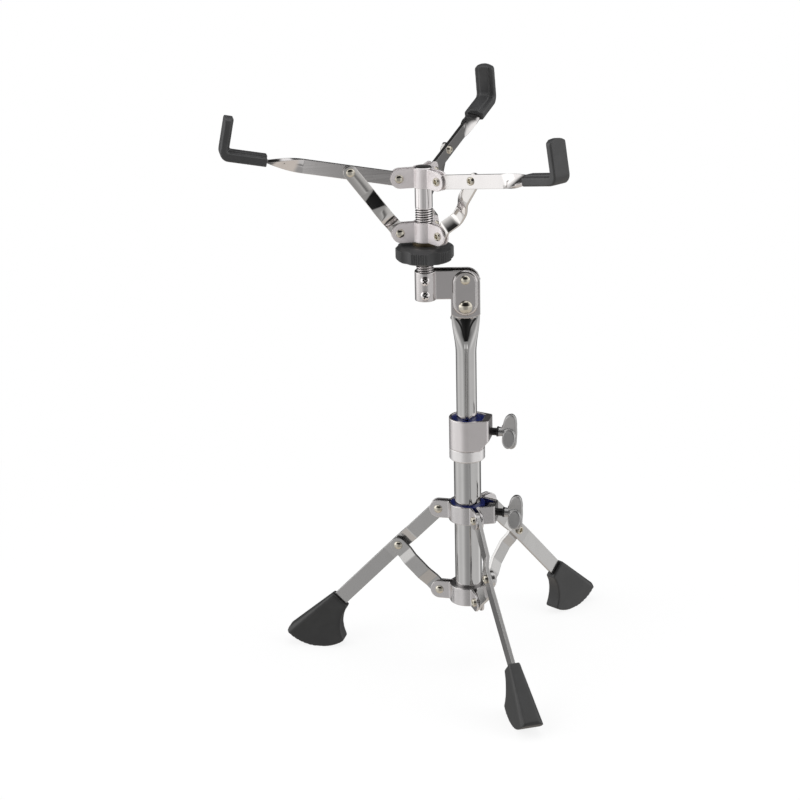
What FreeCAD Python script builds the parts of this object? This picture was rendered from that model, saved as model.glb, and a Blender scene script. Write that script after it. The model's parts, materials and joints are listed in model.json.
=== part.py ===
import FreeCAD, Part
import math
import os

V = FreeCAD.Vector

# Fits
pin_fit = 0.05          # radial, pins and shafts in their holes
side_gap = 0.3          # each side of a strip between two ears or under a rivet head
seat_gap = 0.05         # radial, pieces that are pressed together
turn_gap = 0.3          # faces that slide past each other

# Stance: legs and braces swing in upright planes through the column's axis
leg_azimuth = 167.2     # left leg; the other two follow at equal steps
leg_pivot_r = 28.0
leg_pivot_z = 151.5
brace_pivot_z = 68.0
knee_run = 40.2         # out from the leg's pivot
knee_r = leg_pivot_r + knee_run    # rivet between leg and brace
leg_names = ("left", "front", "right")
third = 120.0

# Column
lower_tube_d = 25.4
lower_tube_wall = 1.4
lower_tube_bottom = 58.0
lower_tube_top = 222.0
tube_step = 6.35        # upper tube under the lower one's diameter
upper_tube_d = lower_tube_d - tube_step
upper_tube_wall = 1.4
upper_tube_bottom = 134.0
guide_height = 14.0     # plug under the upper tube
guide_lip = 3.0

# Flattened end of the upper tube, by the tilt bolt's height
tilt_z = 354.0
flat_run = 46.0         # taper's start under the bolt
flat_full_drop = 9.0
flat_top_rise = 12.0
flat_start_z = tilt_z - flat_run
flat_full_z = tilt_z - flat_full_drop
flat_top_z = tilt_z + flat_top_rise
flat_width = 26.2
flat_depth = 6.4        # over the side ridges
web_thick = 3.2
ridge_width = 2.9
dent_lead = 11.0
dent_short = 6.5
dent_start_z = flat_start_z + dent_lead
dent_full_z = flat_full_z - dent_short
dent_start_cut = 1.4    # depth under the round tube's wall where the dent begins
flat_corner_r = 5.0

# Leg strips and braces
leg_width = 14.4
leg_thick = 3.2
leg_length = 176.0      # pivot to the end hidden in the foot
leg_set = -3.2          # sideways joggle beside the brace
leg_joggle_start = 38.5
leg_joggle_end = 48.5
leg_return_start = 72.0
leg_tip_run = 26.0      # straight run inside the foot
leg_return_end = leg_length - leg_tip_run
brace_width = 15.0
brace_thick = 3.0
brace_bow = 2.8
brace_bow_start = 11.0
brace_bow_rise = 11.0
brace_bow_end = 9.5     # distance from the knee rivet
brace_bow_fall = 8.0
bend_r = 1.6            # inside radius of the strip bends
leg_slack = 2.6         # loose hole at the leg's top rivet

# Stamped hubs of the legs
leg_hub_height = 17.2
leg_hub_wall = 3.5      # core or bush round the tube
leg_hub_wrap_r = lower_tube_d / 2 + leg_hub_wall
leg_hub_sheet = 1.7
leg_hub_ear = 8.6       # ear's end beyond its rivet
leg_hub_bend = 1.4
clamp_reach = 27.8      # boxed end of the clamp plate
clamp_half = 8.0
clamp_corner = 2.2
clamp_block_depth = 6.5
clamp_block_half = 5.4
clamp_block_height = 13.0
bush_recess = 0.7

# Rivets
leg_rivet_r = 2.5
leg_rivet_head_r = 4.1
leg_rivet_head_h = 2.3
arm_rivet_r = 2.0
arm_rivet_head_r = 3.7
arm_rivet_head_h = 2.0

# Rubber feet, drawn in the leg's plane at rest
foot_cover = 32.8       # leg's end inside the foot
foot_neck_t = leg_length - foot_cover    # along the leg from its pivot
foot_neck_out = 8.8
foot_neck_in = 10.4
foot_neck_width = 10.8
foot_sole_width = 21.6
foot_skew = 1.6         # sole's middle beside the leg's plane
sole_r = 45.3
sole_flat = 0.4        # depth cut flat where it stands
sole_centre_r = 146.9
toe_angle = -42.0
heel_angle = -122.0
heel_dip_r = 126.4
heel_dip_z = 25.5
foot_toe_r = 2.4
foot_heel_r = 2.2
foot_bevel_neck = 0.9
foot_bevel_toe = 3.6
tread_count = 7
tread_first = -50.0     # angle on the sole
tread_step = -6.0
tread_r = 0.7

# Height collar
collar_azimuth = -12.0
collar_stand = 4.0      # collar's outside over the lower tube
collar_r = lower_tube_d / 2 + collar_stand
collar_wall = 2.0
collar_bottom = 216.0
collar_top = 245.4
collar_ring_bottom = 204.3
collar_groove = 0.5
collar_reach = 22.6
collar_half = 10.4
collar_corner = 3.0
collar_end_wall = 6.5
boss_low_z = 225.5      # end face's lower edge
boss_root_z = 219.2     # where the sloped underside meets the cylinder
height_bolt_z = 232.1

# Wing bolts and the wing nut
bolt_r = 3.3
bolt_reach = 7.0        # thread seen outside its boss
bolt_flange_r = 5.2
bolt_flange_h = 1.0
wing_hub_r = 4.9
wing_hub_length = 5.0
wing_depth = 12.8
wing_span = 37.4
wing_thick = 4.6
wing_lean = 15.0        # degrees at rest
wing_edge_r = 1.4
wing_ridge = 0.9         # hub's ridge above the blade

# Tilter
plate_half_gap = 4.0
plate_sheet = 1.5
stem_x = -36.4
stem_y = -4.0
bracket_right = 13.5
bracket_left = -13.3    # tongue's left edge
bracket_rise = 7.7      # arm's underside over the tilt bolt
bracket_height = 27.1
bracket_low_z = tilt_z + bracket_rise
bracket_top_z = bracket_low_z + bracket_height
bracket_corner_r = 12.0
tongue_drop = 7.4
tongue_point = 3.6
tongue_low_z = tilt_z - tongue_drop
tongue_tip_z = tongue_low_z - tongue_point
pad_width = 19.5
pad_drop = 6.4
pad_length = 39.0
pad_low_z = tilt_z - pad_drop
pad_top_z = pad_low_z + pad_length
pad_height = 0.8
spacer_rise = 25.8
spacer_z = tilt_z + spacer_rise
spacer_r = 4.0
spacer_rivet_r = 2.6
spacer_head_r = 4.5
spacer_head_h = 2.3
tilt_bolt_r = 4.0
tilt_head_r = 6.3
tilt_head_h = 3.0
washer_r = 9.6
nut_length = 9.0
nut_r = 6.4
nut_span = 48.0
nut_lean = 32.0

# Basket
stem_r = 8.0
stem_bottom = bracket_low_z
screw_rise = 6.1        # lower screw over the bracket's underside
screw_step = 13.7
screw_low_z = bracket_low_z + screw_rise
screw_high_z = screw_low_z + screw_step
screw_head_r = 4.4
screw_head_h = 2.6
screw_r = 2.0
screw_depth = 6.0
arm_azimuth = 190.3     # left arm; right and rear follow at equal steps
arm_names = ("left", "right", "rear")
hub_pivot_r = 22.4
upper_hub_rise = 122.6  # over the tilt bolt
upper_hub_z = tilt_z + upper_hub_rise
upper_hub_height = 17.7
hub_spacing = 50.4
lower_hub_z = upper_hub_z - hub_spacing
lower_hub_height = 18.2
hub_sheet = 1.7
hub_ear = 7.8
hub_bend = 1.2
arm_rivet_t = 44.7      # arm pivot to the link's rivet
arm_rise = 11.4         # degrees at rest
arm_height = 12.6
arm_thick = 3.2
arm_twist_start = 87.0
arm_twist_end = 125.0
arm_up_t = 159.6        # upturned tip's middle plane
arm_up_top = 29.0
arm_tip_bend = 2.4
arm_drop = 0.7          # bar's middle below its rivets
link_width = 13.0
link_thick = 2.6
link_bow = 9.6
link_bow_start = 10.6
link_bow_high = 20.1
link_bow_flat = 12.9
link_bow_fall = 13.5
link_slack = 2.3        # loose hole at the link's lower rivet

# Rubber grips, in the arm's own frame (along, across, above)
grip_start = 120.5
grip_outer = 163.0
grip_low = -4.3
grip_seat = 3.6         # face under the rib
grip_inner = 156.6
grip_top = 35.0
grip_crown_r = 14.0     # round top, seen along the arm
grip_width = 18.4
grip_rib = 1.8
grip_rib_width = 9.4
grip_outer_r = 8.5
grip_inner_r = 3.0
grip_edge = 1.1

# Knob
knob_r = 26.5
knob_drop = 12.2        # rim's top under the lower hub's middle
knob_height = 13.4
knob_top_z = lower_hub_z - knob_drop
knob_low_z = knob_top_z - knob_height
knob_lobes = 6
knob_lobe_azimuth = 259.3
knob_lobe_span = 37.0
knob_scallop = 1.7
knob_ribs = 8
knob_rib_depth = 0.7
knob_chamfer = 3.0
knob_shoulder_r = 21.0
knob_boss_r = 13.5
insert_r = 11.0
insert_inset = 1.4
insert_low_z = knob_low_z + insert_inset


def revolved(points, axis_point, axis):
    wire = Part.makePolygon(points + [points[0]])
    return Part.Face(wire).revolve(axis_point, axis, 360)


def prism(points, reach):
    return Part.Face(Part.makePolygon(points + [points[0]])).extrude(reach)


def line(a, b):
    return Part.LineSegment(a, b).toShape()


def arc(a, middle, b):
    return Part.Arc(a, middle, b).toShape()


def plate(edges, reach):
    return Part.Face(Part.Wire(edges)).extrude(reach)


# Turned body about the Y axis from a closed profile in the XY plane
def spun(edges):
    return Part.Face(Part.Wire(Part.__sortEdges__(edges))).revolve(V(0, 0, 0), V(0, 1, 0), 360)


def rod(radius, start, reach):
    return Part.makeCylinder(radius, reach.Length, start, reach)


def tube(outer_r, inner_r, low, high):
    height = V(0, 0, high - low)
    return rod(outer_r, V(0, 0, low), height).cut(rod(inner_r, V(0, 0, low), height))


def turned(shape, degrees, x=0.0, y=0.0):
    result = shape.copy()
    result.rotate(V(0, 0, 0), V(0, 0, 1), degrees)
    result.translate(V(x, y, 0))
    return result


def upright_edges(shape, spots):
    """Edges along Z that stand at the given XY spots."""
    found = []
    for edge in shape.Edges:
        ends = [v.Point for v in edge.Vertexes]
        if len(ends) < 2 or abs(ends[0].z - ends[1].z) < 0.5:
            continue
        for spot in spots:
            if all(math.hypot(p.x - spot.x, p.y - spot.y) < 0.02 for p in ends):
                found.append(edge)
                break
    return found


def save(shape, node):
    shape.exportStep("parts/" + node + ".step")


# Domed end of a turned profile in the XY plane: from the rim to the crown on the Y axis
def dome(rim_r, rim_y, height):
    tall = abs(height)
    ball_r = (rim_r ** 2 + tall ** 2) / (2 * tall)
    half_turn = math.acos((ball_r - tall) / ball_r) / 2
    rise = (tall - ball_r + ball_r * math.cos(half_turn)) * (1 if height > 0 else -1)
    middle = V(ball_r * math.sin(half_turn), rim_y + rise, 0)
    return arc(V(rim_r, rim_y, 0), middle, V(0, rim_y + height, 0))


# Rivet along Y with a domed head at each end; seat faces at y0 and y1
def rivet(radius, head_r, head_h, y0, y1):
    edges = [line(V(0, y0 - head_h, 0), V(0, y1 + head_h, 0)), dome(head_r, y1, head_h)]
    edges.append(line(V(head_r, y1, 0), V(radius, y1, 0)))
    edges.append(line(V(radius, y1, 0), V(radius, y0, 0)))
    edges.append(line(V(radius, y0, 0), V(head_r, y0, 0)))
    edges.append(dome(head_r, y0, -head_h))
    return spun(edges)


# Mitred offset of an open path in the XY plane
def offset_path(path, distance):
    result = []
    for i, point in enumerate(path):
        before = path[max(i - 1, 0)]
        after = path[min(i + 1, len(path) - 1)]
        normals = []
        for a, b in ((before, point), (point, after)):
            if (b - a).Length > 0:
                normals.append(V(a.y - b.y, b.x - a.x, 0).normalize())
        mitre = normals[0] + normals[-1]
        mitre.normalize()
        result.append(point + mitre * (distance / mitre.dot(normals[0])))
    return result


# Flat strip that follows a path along X, bent sideways in Y, with round bends
def strip(path, thick, width):
    points = [V(x, y, 0) for x, y in path]
    left = offset_path(points, thick / 2)
    right = offset_path(points, -thick / 2)
    body = prism(left + right[::-1], V(0, 0, width))
    inside = []
    outside = []
    for i in range(1, len(points) - 1):
        first = points[i] - points[i - 1]
        second = points[i + 1] - points[i]
        if math.degrees(first.getAngle(second)) < 5:
            continue
        to_left = first.cross(second).z > 0
        inside.append(left[i] if to_left else right[i])
        outside.append(right[i] if to_left else left[i])
    body = body.makeFillet(bend_r, upright_edges(body, inside))
    body = body.makeFillet(bend_r + thick, upright_edges(body, outside))
    body.translate(V(0, 0, -width / 2))
    return body


# Half-round end of a strip about x, facing side (-1 start, 1 end)
def round_end(body, x, width, side):
    reach = V(0, 60, 0)
    half = width / 2
    start = x if side > 0 else x - width
    corners = Part.makeBox(width, 60, width + 2, V(start, -30, -half - 1))
    return body.cut(corners.cut(rod(half, V(x, -30, 0), reach)))


def pin_hole(body, x, radius):
    return body.cut(rod(radius, V(x, -40, 0), V(0, 80, 0)))


# Direction in which a wall from a flat end's corner touches the round part
def wall_turn(radius, reach, half):
    return math.atan2(half, reach) + math.acos(radius / math.hypot(reach, half))


# Plan of a cylinder with tangent walls running out to a flat end
def boss_hull(radius, reach, half, corner, low, high):
    turn = wall_turn(radius, reach, half)
    touch = V(radius * math.cos(turn), radius * math.sin(turn), low)
    points = [V(touch.x, -touch.y, low), V(reach, -half, low), V(reach, half, low), touch]
    walls = prism(points, V(0, 0, high - low))
    if corner > 0:
        walls = walls.makeFillet(corner, upright_edges(walls, points[1:3]))
    round_part = rod(radius, V(0, 0, low), V(0, 0, high - low))
    return round_part.fuse(walls).removeSplitter()


# Outline of an ear: straight from the wrap, half round beyond the rivet
def ear(start_r, pivot_r, end, height, sheet):
    half = height / 2
    mid = pivot_r + end - half
    edges = [line(V(start_r, 0, -half), V(mid, 0, -half))]
    edges.append(arc(V(mid, 0, -half), V(mid + half, 0, 0), V(mid, 0, half)))
    edges.append(line(V(mid, 0, half), V(start_r, 0, half)))
    edges.append(line(V(start_r, 0, half), V(start_r, 0, -half)))
    return plate(edges, V(0, sheet, 0))


# Where a boxed plate's wall crosses a line beside the ear's middle plane
def wall_start(radius, reach, half, beside):
    lean = wall_turn(radius, reach, half) - math.radians(third / 2)
    return (radius + beside * math.sin(lean)) / math.cos(lean)


# One of the three stamped plates of a hub, its middle on +X: a wrap between two ears.
# A boxed plate has straight walls out to a flat end in place of the wrap.
def hub_plate(wrap_r, sheet, height, pivot_r, ear_end, slot, inner_bend, hole_r, box=None):
    outer_r = wrap_r + sheet
    half_slot = slot / 2
    side = third / 2
    low = -height / 2
    if box:
        reach, half, corner = box
        body = boss_hull(outer_r, reach, half, corner, low, -low)
        body = body.cut(boss_hull(wrap_r, reach - sheet, half - sheet, 0, low, -low))
    else:
        body = tube(outer_r, wrap_r, low, -low)
    tip_x = half_slot / math.sin(math.radians(side))
    far = 4 * pivot_r
    far_x = tip_x + far * math.cos(math.radians(side))
    far_y = far * math.sin(math.radians(side))
    wedge = [V(tip_x, 0, low), V(far_x, -far_y, low), V(far_x, far_y, low)]
    body = body.common(prism(wedge, V(0, 0, height)))
    if box:
        start = wall_start(wrap_r, reach - sheet, half - sheet, half_slot)
        root = wall_start(outer_r, reach, half, half_slot + sheet)
        ear_start = (start + root) / 2
    else:
        start = math.sqrt(wrap_r ** 2 - half_slot ** 2)
        ear_start = start
        root = math.sqrt(outer_r ** 2 - (half_slot + sheet) ** 2)
    inner_spots = []
    outer_spots = []
    for sign in (1, -1):
        flange = ear(ear_start, pivot_r, ear_end, height, sheet)
        flange.translate(V(0, -half_slot - sheet if sign > 0 else half_slot, 0))
        body = body.fuse(turned(flange, sign * side))
        hole = rod(hole_r, V(pivot_r, -30, 0), V(0, 60, 0))
        body = body.cut(turned(hole, sign * side))
        spin = FreeCAD.Rotation(V(0, 0, 1), sign * side)
        inner_spots.append(spin.multVec(V(start, -sign * half_slot, 0)))
        outer_spots.append(spin.multVec(V(root, -sign * (half_slot + sheet), 0)))
    body = body.removeSplitter()
    body = body.makeFillet(inner_bend + sheet, upright_edges(body, inner_spots))
    return body.makeFillet(inner_bend, upright_edges(body, outer_spots))


# Thumb wings in the XZ plane, root at the origin, reaching along +X
def wings(span):
    half = span / 2
    deep = wing_depth
    lobe = [V(-1.0, 0, 3.6), V(0.6, 0, half * 0.6), V(deep * 0.4, 0, half * 0.95)]
    lobe.append(V(deep * 0.66, 0, half))
    lobe += [V(deep * 0.88, 0, half * 0.88), V(deep * 0.985, 0, half * 0.5), V(deep, 0, 0)]
    points = lobe + [V(p.x, 0, -p.z) for p in lobe[-2::-1]]
    curve = Part.BSplineCurve()
    curve.interpolate(points)
    blade = Part.Face(Part.Wire([curve.toShape(), line(points[-1], points[0])]))
    blade = blade.extrude(V(0, wing_thick, 0))
    blade.translate(V(0, -wing_thick / 2, 0))
    rims = [e for e in blade.Edges if abs(abs(e.CenterOfMass.y) - wing_thick / 2) < 0.01
            and e.CenterOfMass.x > -0.5]
    return blade.makeFillet(wing_edge_r, rims)


# Wing bolt along +X; x = 0 is the boss's end face, insert reaches inward
def wing_bolt(insert):
    flange_x = bolt_reach - bolt_flange_h
    hub_x = bolt_reach + wing_hub_length
    ridge_r = wing_thick / 2 + wing_ridge
    ridge_x = hub_x + wing_depth * 0.8
    profile = [V(-insert, 0, 0), V(-insert, 0, bolt_r - 0.5), V(0.5 - insert, 0, bolt_r)]
    profile += [V(flange_x, 0, bolt_r), V(flange_x, 0, bolt_flange_r), V(bolt_reach, 0, bolt_flange_r)]
    profile += [V(bolt_reach, 0, wing_hub_r), V(hub_x, 0, wing_hub_r - 0.6), V(hub_x + 2, 0, ridge_r)]
    profile += [V(ridge_x - 2, 0, ridge_r), V(ridge_x, 0, ridge_r / 2), V(ridge_x, 0, 0)]
    body = revolved(profile, V(0, 0, 0), V(1, 0, 0))
    blade = wings(wing_span)
    blade.translate(V(hub_x, 0, 0))
    body = body.fuse(blade)
    body.rotate(V(0, 0, 0), V(1, 0, 0), wing_lean)
    return body


# Leg frame: X down the leg from its pivot, Y sideways, Z across the strip
knee_z = (leg_pivot_z + brace_pivot_z) / 2
knee_t = math.hypot(knee_r - leg_pivot_r, leg_pivot_z - knee_z)
leg_slope = math.degrees(math.atan2(leg_pivot_z - knee_z, knee_r - leg_pivot_r))
brace_set = leg_set + (leg_thick + brace_thick) / 2 + side_gap
leg_slot = leg_thick + 2 * side_gap
brace_slot = brace_thick + 2 * side_gap


def at_leg(shape, number, slope, pivot_z):
    result = shape.copy()
    result.rotate(V(0, 0, 0), V(0, 1, 0), slope)
    result.translate(V(leg_pivot_r, 0, pivot_z))
    return turned(result, leg_azimuth + number * third)


def make_leg():
    path = [(-leg_width / 2, 0), (leg_joggle_start, 0), (leg_joggle_end, leg_set)]
    path += [(leg_return_start, leg_set), (leg_return_end, 0), (leg_length, 0)]
    body = strip(path, leg_thick, leg_width)
    body = round_end(body, 0, leg_width, -1)
    body = pin_hole(body, 0, leg_rivet_r + leg_slack)
    return pin_hole(body, knee_t, leg_rivet_r + pin_fit)


def make_brace():
    high_end = knee_t - brace_bow_end - brace_bow_fall
    path = [(-brace_width / 2, 0), (brace_bow_start, 0)]
    path += [(brace_bow_start + brace_bow_rise, brace_bow), (high_end, brace_bow)]
    path += [(knee_t - brace_bow_end, brace_set), (knee_t + brace_width / 2, brace_set)]
    body = strip(path, brace_thick, brace_width)
    body = round_end(body, 0, brace_width, -1)
    body = round_end(body, knee_t, brace_width, 1)
    body = pin_hole(body, 0, leg_rivet_r + pin_fit)
    return pin_hole(body, knee_t, leg_rivet_r + pin_fit)


def make_knee_rivet():
    low = leg_set - leg_thick / 2 - side_gap
    high = brace_set + brace_thick / 2
    body = rivet(leg_rivet_r, leg_rivet_head_r, leg_rivet_head_h, low, high)
    body.translate(V(knee_t, 0, 0))
    return body


# A point of the upright plane (radius, height) in the leg's frame at rest
def in_leg(radius, z):
    a = math.radians(leg_slope)
    out = radius - leg_pivot_r
    rise = z - leg_pivot_z
    return V(out * math.cos(a) - rise * math.sin(a), 0, out * math.sin(a) + rise * math.cos(a))


def on_sole(degrees, radius):
    a = math.radians(degrees)
    return in_leg(sole_centre_r + radius * math.cos(a), sole_r - sole_flat + radius * math.sin(a))


# Block beyond the plane through three points, on the side the normal shows
def beyond(a, b, c):
    normal = (b - a).cross(c - a)
    block = Part.makeBox(300, 300, 80, V(-150, -150, 0))
    block.Placement = FreeCAD.Placement(a, FreeCAD.Rotation(V(0, 0, 1), normal))
    return block


# Fan-shaped rubber foot: outline in the leg's plane, drafted wider to the sole
def make_foot(leg):
    neck_out = V(foot_neck_t, 0, foot_neck_out)
    neck_in = V(foot_neck_t, 0, -foot_neck_in)
    toe = on_sole(toe_angle, sole_r)
    heel = on_sole(heel_angle, sole_r)
    middle = on_sole((toe_angle + heel_angle) / 2, sole_r)
    edges = [line(neck_in, neck_out), line(neck_out, toe), arc(toe, middle, heel)]
    edges.append(arc(heel, in_leg(heel_dip_r, heel_dip_z), neck_in))
    wide = foot_sole_width + 2 * foot_skew
    body = plate(edges, V(0, wide, 0))
    body.translate(V(0, -wide / 2, 0))
    for corner, radius in ((toe, foot_toe_r), (heel, foot_heel_r)):
        edge = [e for e in body.Edges if (e.CenterOfMass - corner).Length < 0.1]
        body = body.makeFillet(radius, edge)
    half_neck = foot_neck_width / 2
    half_sole = foot_sole_width / 2
    for sign in (1, -1):
        a = V(foot_neck_t, sign * half_neck, 0)
        b = V(toe.x, sign * half_sole + foot_skew, 0)
        body = body.cut(beyond(a, b, a + V(0, 0, -sign)))
        first = V(foot_neck_t, sign * half_neck, foot_neck_out - foot_bevel_neck)
        second = V(foot_neck_t, sign * (half_neck - foot_bevel_neck), foot_neck_out)
        third_point = V(toe.x, sign * (half_sole - foot_bevel_toe) + foot_skew, toe.z)
        order = (first, second, third_point) if sign > 0 else (first, third_point, second)
        body = body.cut(beyond(*order))
    for i in range(tread_count):
        spot = on_sole(tread_first + i * tread_step, sole_r + 0.2)
        body = body.cut(rod(tread_r, spot - V(0, 30, 0), V(0, 60, 0)))
    return body.cut(leg)


def build_legs():
    leg = make_leg()
    brace = make_brace()
    foot = make_foot(leg)
    knee = make_knee_rivet()
    knee.rotate(V(knee_t, 0, 0), V(0, 1, 0), -2 * leg_slope)
    ground = Part.makeBox(600, 600, 60, V(-300, -300, -60))
    for number, name in enumerate(leg_names):
        save(at_leg(leg, number, leg_slope, leg_pivot_z), "leg_" + name)
        save(at_leg(foot, number, leg_slope, leg_pivot_z).cut(ground), "foot_" + name)
        save(at_leg(brace, number, -leg_slope, brace_pivot_z), "brace_" + name)
        save(at_leg(knee, number, leg_slope, leg_pivot_z), "knee_rivet_" + name)


# Three rivets of a hub as one group
def hub_rivets(radius, head_r, head_h, slot, sheet, pivot_r, azimuth, x, y, z):
    reach = slot / 2 + sheet
    one = rivet(radius, head_r, head_h, -reach, reach)
    one.translate(V(pivot_r, 0, z))
    return Part.makeCompound([turned(one, azimuth + i * third, x, y) for i in range(3)])


def build_leg_hubs():
    hole = leg_rivet_r + seat_gap
    size = (leg_hub_wrap_r, leg_hub_sheet, leg_hub_height, leg_pivot_r, leg_hub_ear)
    base = hub_plate(*size, brace_slot, leg_hub_bend, hole)
    collar = hub_plate(*size, leg_slot, leg_hub_bend, hole)
    box = (clamp_reach, clamp_half, clamp_corner)
    clamp = hub_plate(*size, leg_slot, leg_hub_bend, hole, box)
    clamp = clamp.cut(rod(bolt_r + 2 * pin_fit, V(0, 0, 0), V(60, 0, 0)))
    first_middle = leg_azimuth + third / 2
    for i in range(3):
        body = turned(base, first_middle + i * third)
        body.translate(V(0, 0, brace_pivot_z))
        save(body, "base_hub_plate_%d" % (i + 1))
    for body, i, node in ((collar, 0, "leg_collar_plate_1"), (collar, 2, "leg_collar_plate_2"),
                          (clamp, 1, "leg_clamp_plate")):
        body = turned(body, first_middle + i * third)
        body.translate(V(0, 0, leg_pivot_z))
        save(body, node)
    head = (leg_rivet_r, leg_rivet_head_r, leg_rivet_head_h)
    where = (leg_hub_sheet, leg_pivot_r, leg_azimuth, 0, 0)
    save(hub_rivets(*head, brace_slot, *where, brace_pivot_z), "base_hub_rivets")
    save(hub_rivets(*head, leg_slot, *where, leg_pivot_z), "leg_collar_rivets")
    half = leg_hub_height / 2
    sleeve_r = leg_hub_wrap_r - seat_gap
    core = tube(sleeve_r, lower_tube_d / 2 + seat_gap, brace_pivot_z - half, brace_pivot_z + half)
    save(core, "base_hub_core")
    bush = tube(sleeve_r, lower_tube_d / 2 + pin_fit, leg_pivot_z - half + bush_recess,
                leg_pivot_z + half - bush_recess)
    save(bush, "leg_collar_bush")
    block_x = clamp_reach - leg_hub_sheet - clamp_block_depth
    block = Part.makeBox(clamp_block_depth, 2 * clamp_block_half, clamp_block_height,
                         V(block_x, -clamp_block_half, -clamp_block_height / 2))
    block = block.cut(rod(bolt_r + pin_fit, V(0, 0, 0), V(60, 0, 0)))
    bolt = wing_bolt(clamp_reach - leg_hub_wrap_r - turn_gap)
    bolt.translate(V(clamp_reach, 0, 0))
    for body, node in ((block, "leg_clamp_block"), (bolt, "leg_wing_bolt")):
        body = turned(body, first_middle + third)
        body.translate(V(0, 0, leg_pivot_z))
        save(body, node)


# Die-cast height collar: a cylinder with a clamping boss on one side
def build_height_collar():
    cavity_low = lower_tube_top + turn_gap
    boss = boss_hull(collar_r, collar_reach, collar_half, collar_corner, collar_bottom, collar_top)
    slope = [V(collar_r - 2, 0, collar_bottom - 1), V(collar_reach + 5, 0, collar_bottom - 1)]
    rise = (boss_low_z - boss_root_z) / (collar_reach - collar_r)
    slope += [V(collar_reach + 5, 0, boss_low_z + 5 * rise), V(collar_r - 2, 0, boss_root_z - 2 * rise)]
    under = prism(slope, V(0, 60, 0))
    under.translate(V(0, -30, 0))
    shell = boss.cut(under)
    shell = shell.fuse(rod(collar_r, V(0, 0, collar_bottom), V(0, 0, collar_top - collar_bottom)))
    cavity = boss_hull(collar_r - collar_wall, collar_reach - collar_end_wall, collar_half - collar_wall,
                       1.5, cavity_low, collar_top)
    bore = rod(lower_tube_d / 2 + seat_gap, V(0, 0, 0), V(0, 0, cavity_low))
    hole = rod(bolt_r + pin_fit, V(0, 0, height_bolt_z), V(60, 0, 0))
    shell = shell.cut(cavity).cut(bore).cut(hole).removeSplitter()
    rim = [e for e in shell.Edges if abs(e.BoundBox.ZMin - collar_top) < 0.01
           and abs(e.BoundBox.ZMax - collar_top) < 0.01]
    shell = shell.makeFillet(0.5, rim)
    save(turned(shell, collar_azimuth), "height_collar")
    inner = lower_tube_d / 2 + seat_gap
    ring = [V(inner, 0, collar_ring_bottom), V(collar_r - 1.2, 0, collar_ring_bottom)]
    ring += [V(collar_r, 0, collar_ring_bottom + 1.2), V(collar_r, 0, collar_bottom - collar_groove)]
    ring += [V(collar_r - 0.6, 0, collar_bottom - collar_groove), V(collar_r - 0.6, 0, collar_bottom)]
    ring += [V(inner, 0, collar_bottom)]
    save(revolved(ring, V(0, 0, 0), V(0, 0, 1)), "collar_ring")
    key_reach = collar_reach - collar_end_wall - seat_gap
    bush = boss_hull(collar_r - collar_wall - seat_gap, key_reach, collar_half - collar_wall - 0.5,
                     1.0, cavity_low, collar_top - 1.3)
    bush = bush.cut(rod(upper_tube_d / 2 + pin_fit, V(0, 0, 0), V(0, 0, 400)))
    save(turned(bush, collar_azimuth), "height_bush")
    bolt = wing_bolt(collar_end_wall - turn_gap)
    bolt.translate(V(collar_reach, 0, height_bolt_z))
    save(turned(bolt, collar_azimuth), "height_wing_bolt")


# Closed section of the pressed tube: a circle at power 2, boxier above it
def oval(z, half_x, half_y, power):
    points = []
    for i in range(24):
        angle = math.pi * i / 12
        x = math.copysign(abs(math.cos(angle)) ** (2 / power), math.cos(angle))
        y = math.copysign(abs(math.sin(angle)) ** (2 / power), math.sin(angle))
        points.append(V(half_x * x, half_y * y, z))
    curve = Part.BSplineCurve()
    curve.interpolate(points, PeriodicFlag=True)
    return Part.Wire([curve.toShape()])


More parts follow.
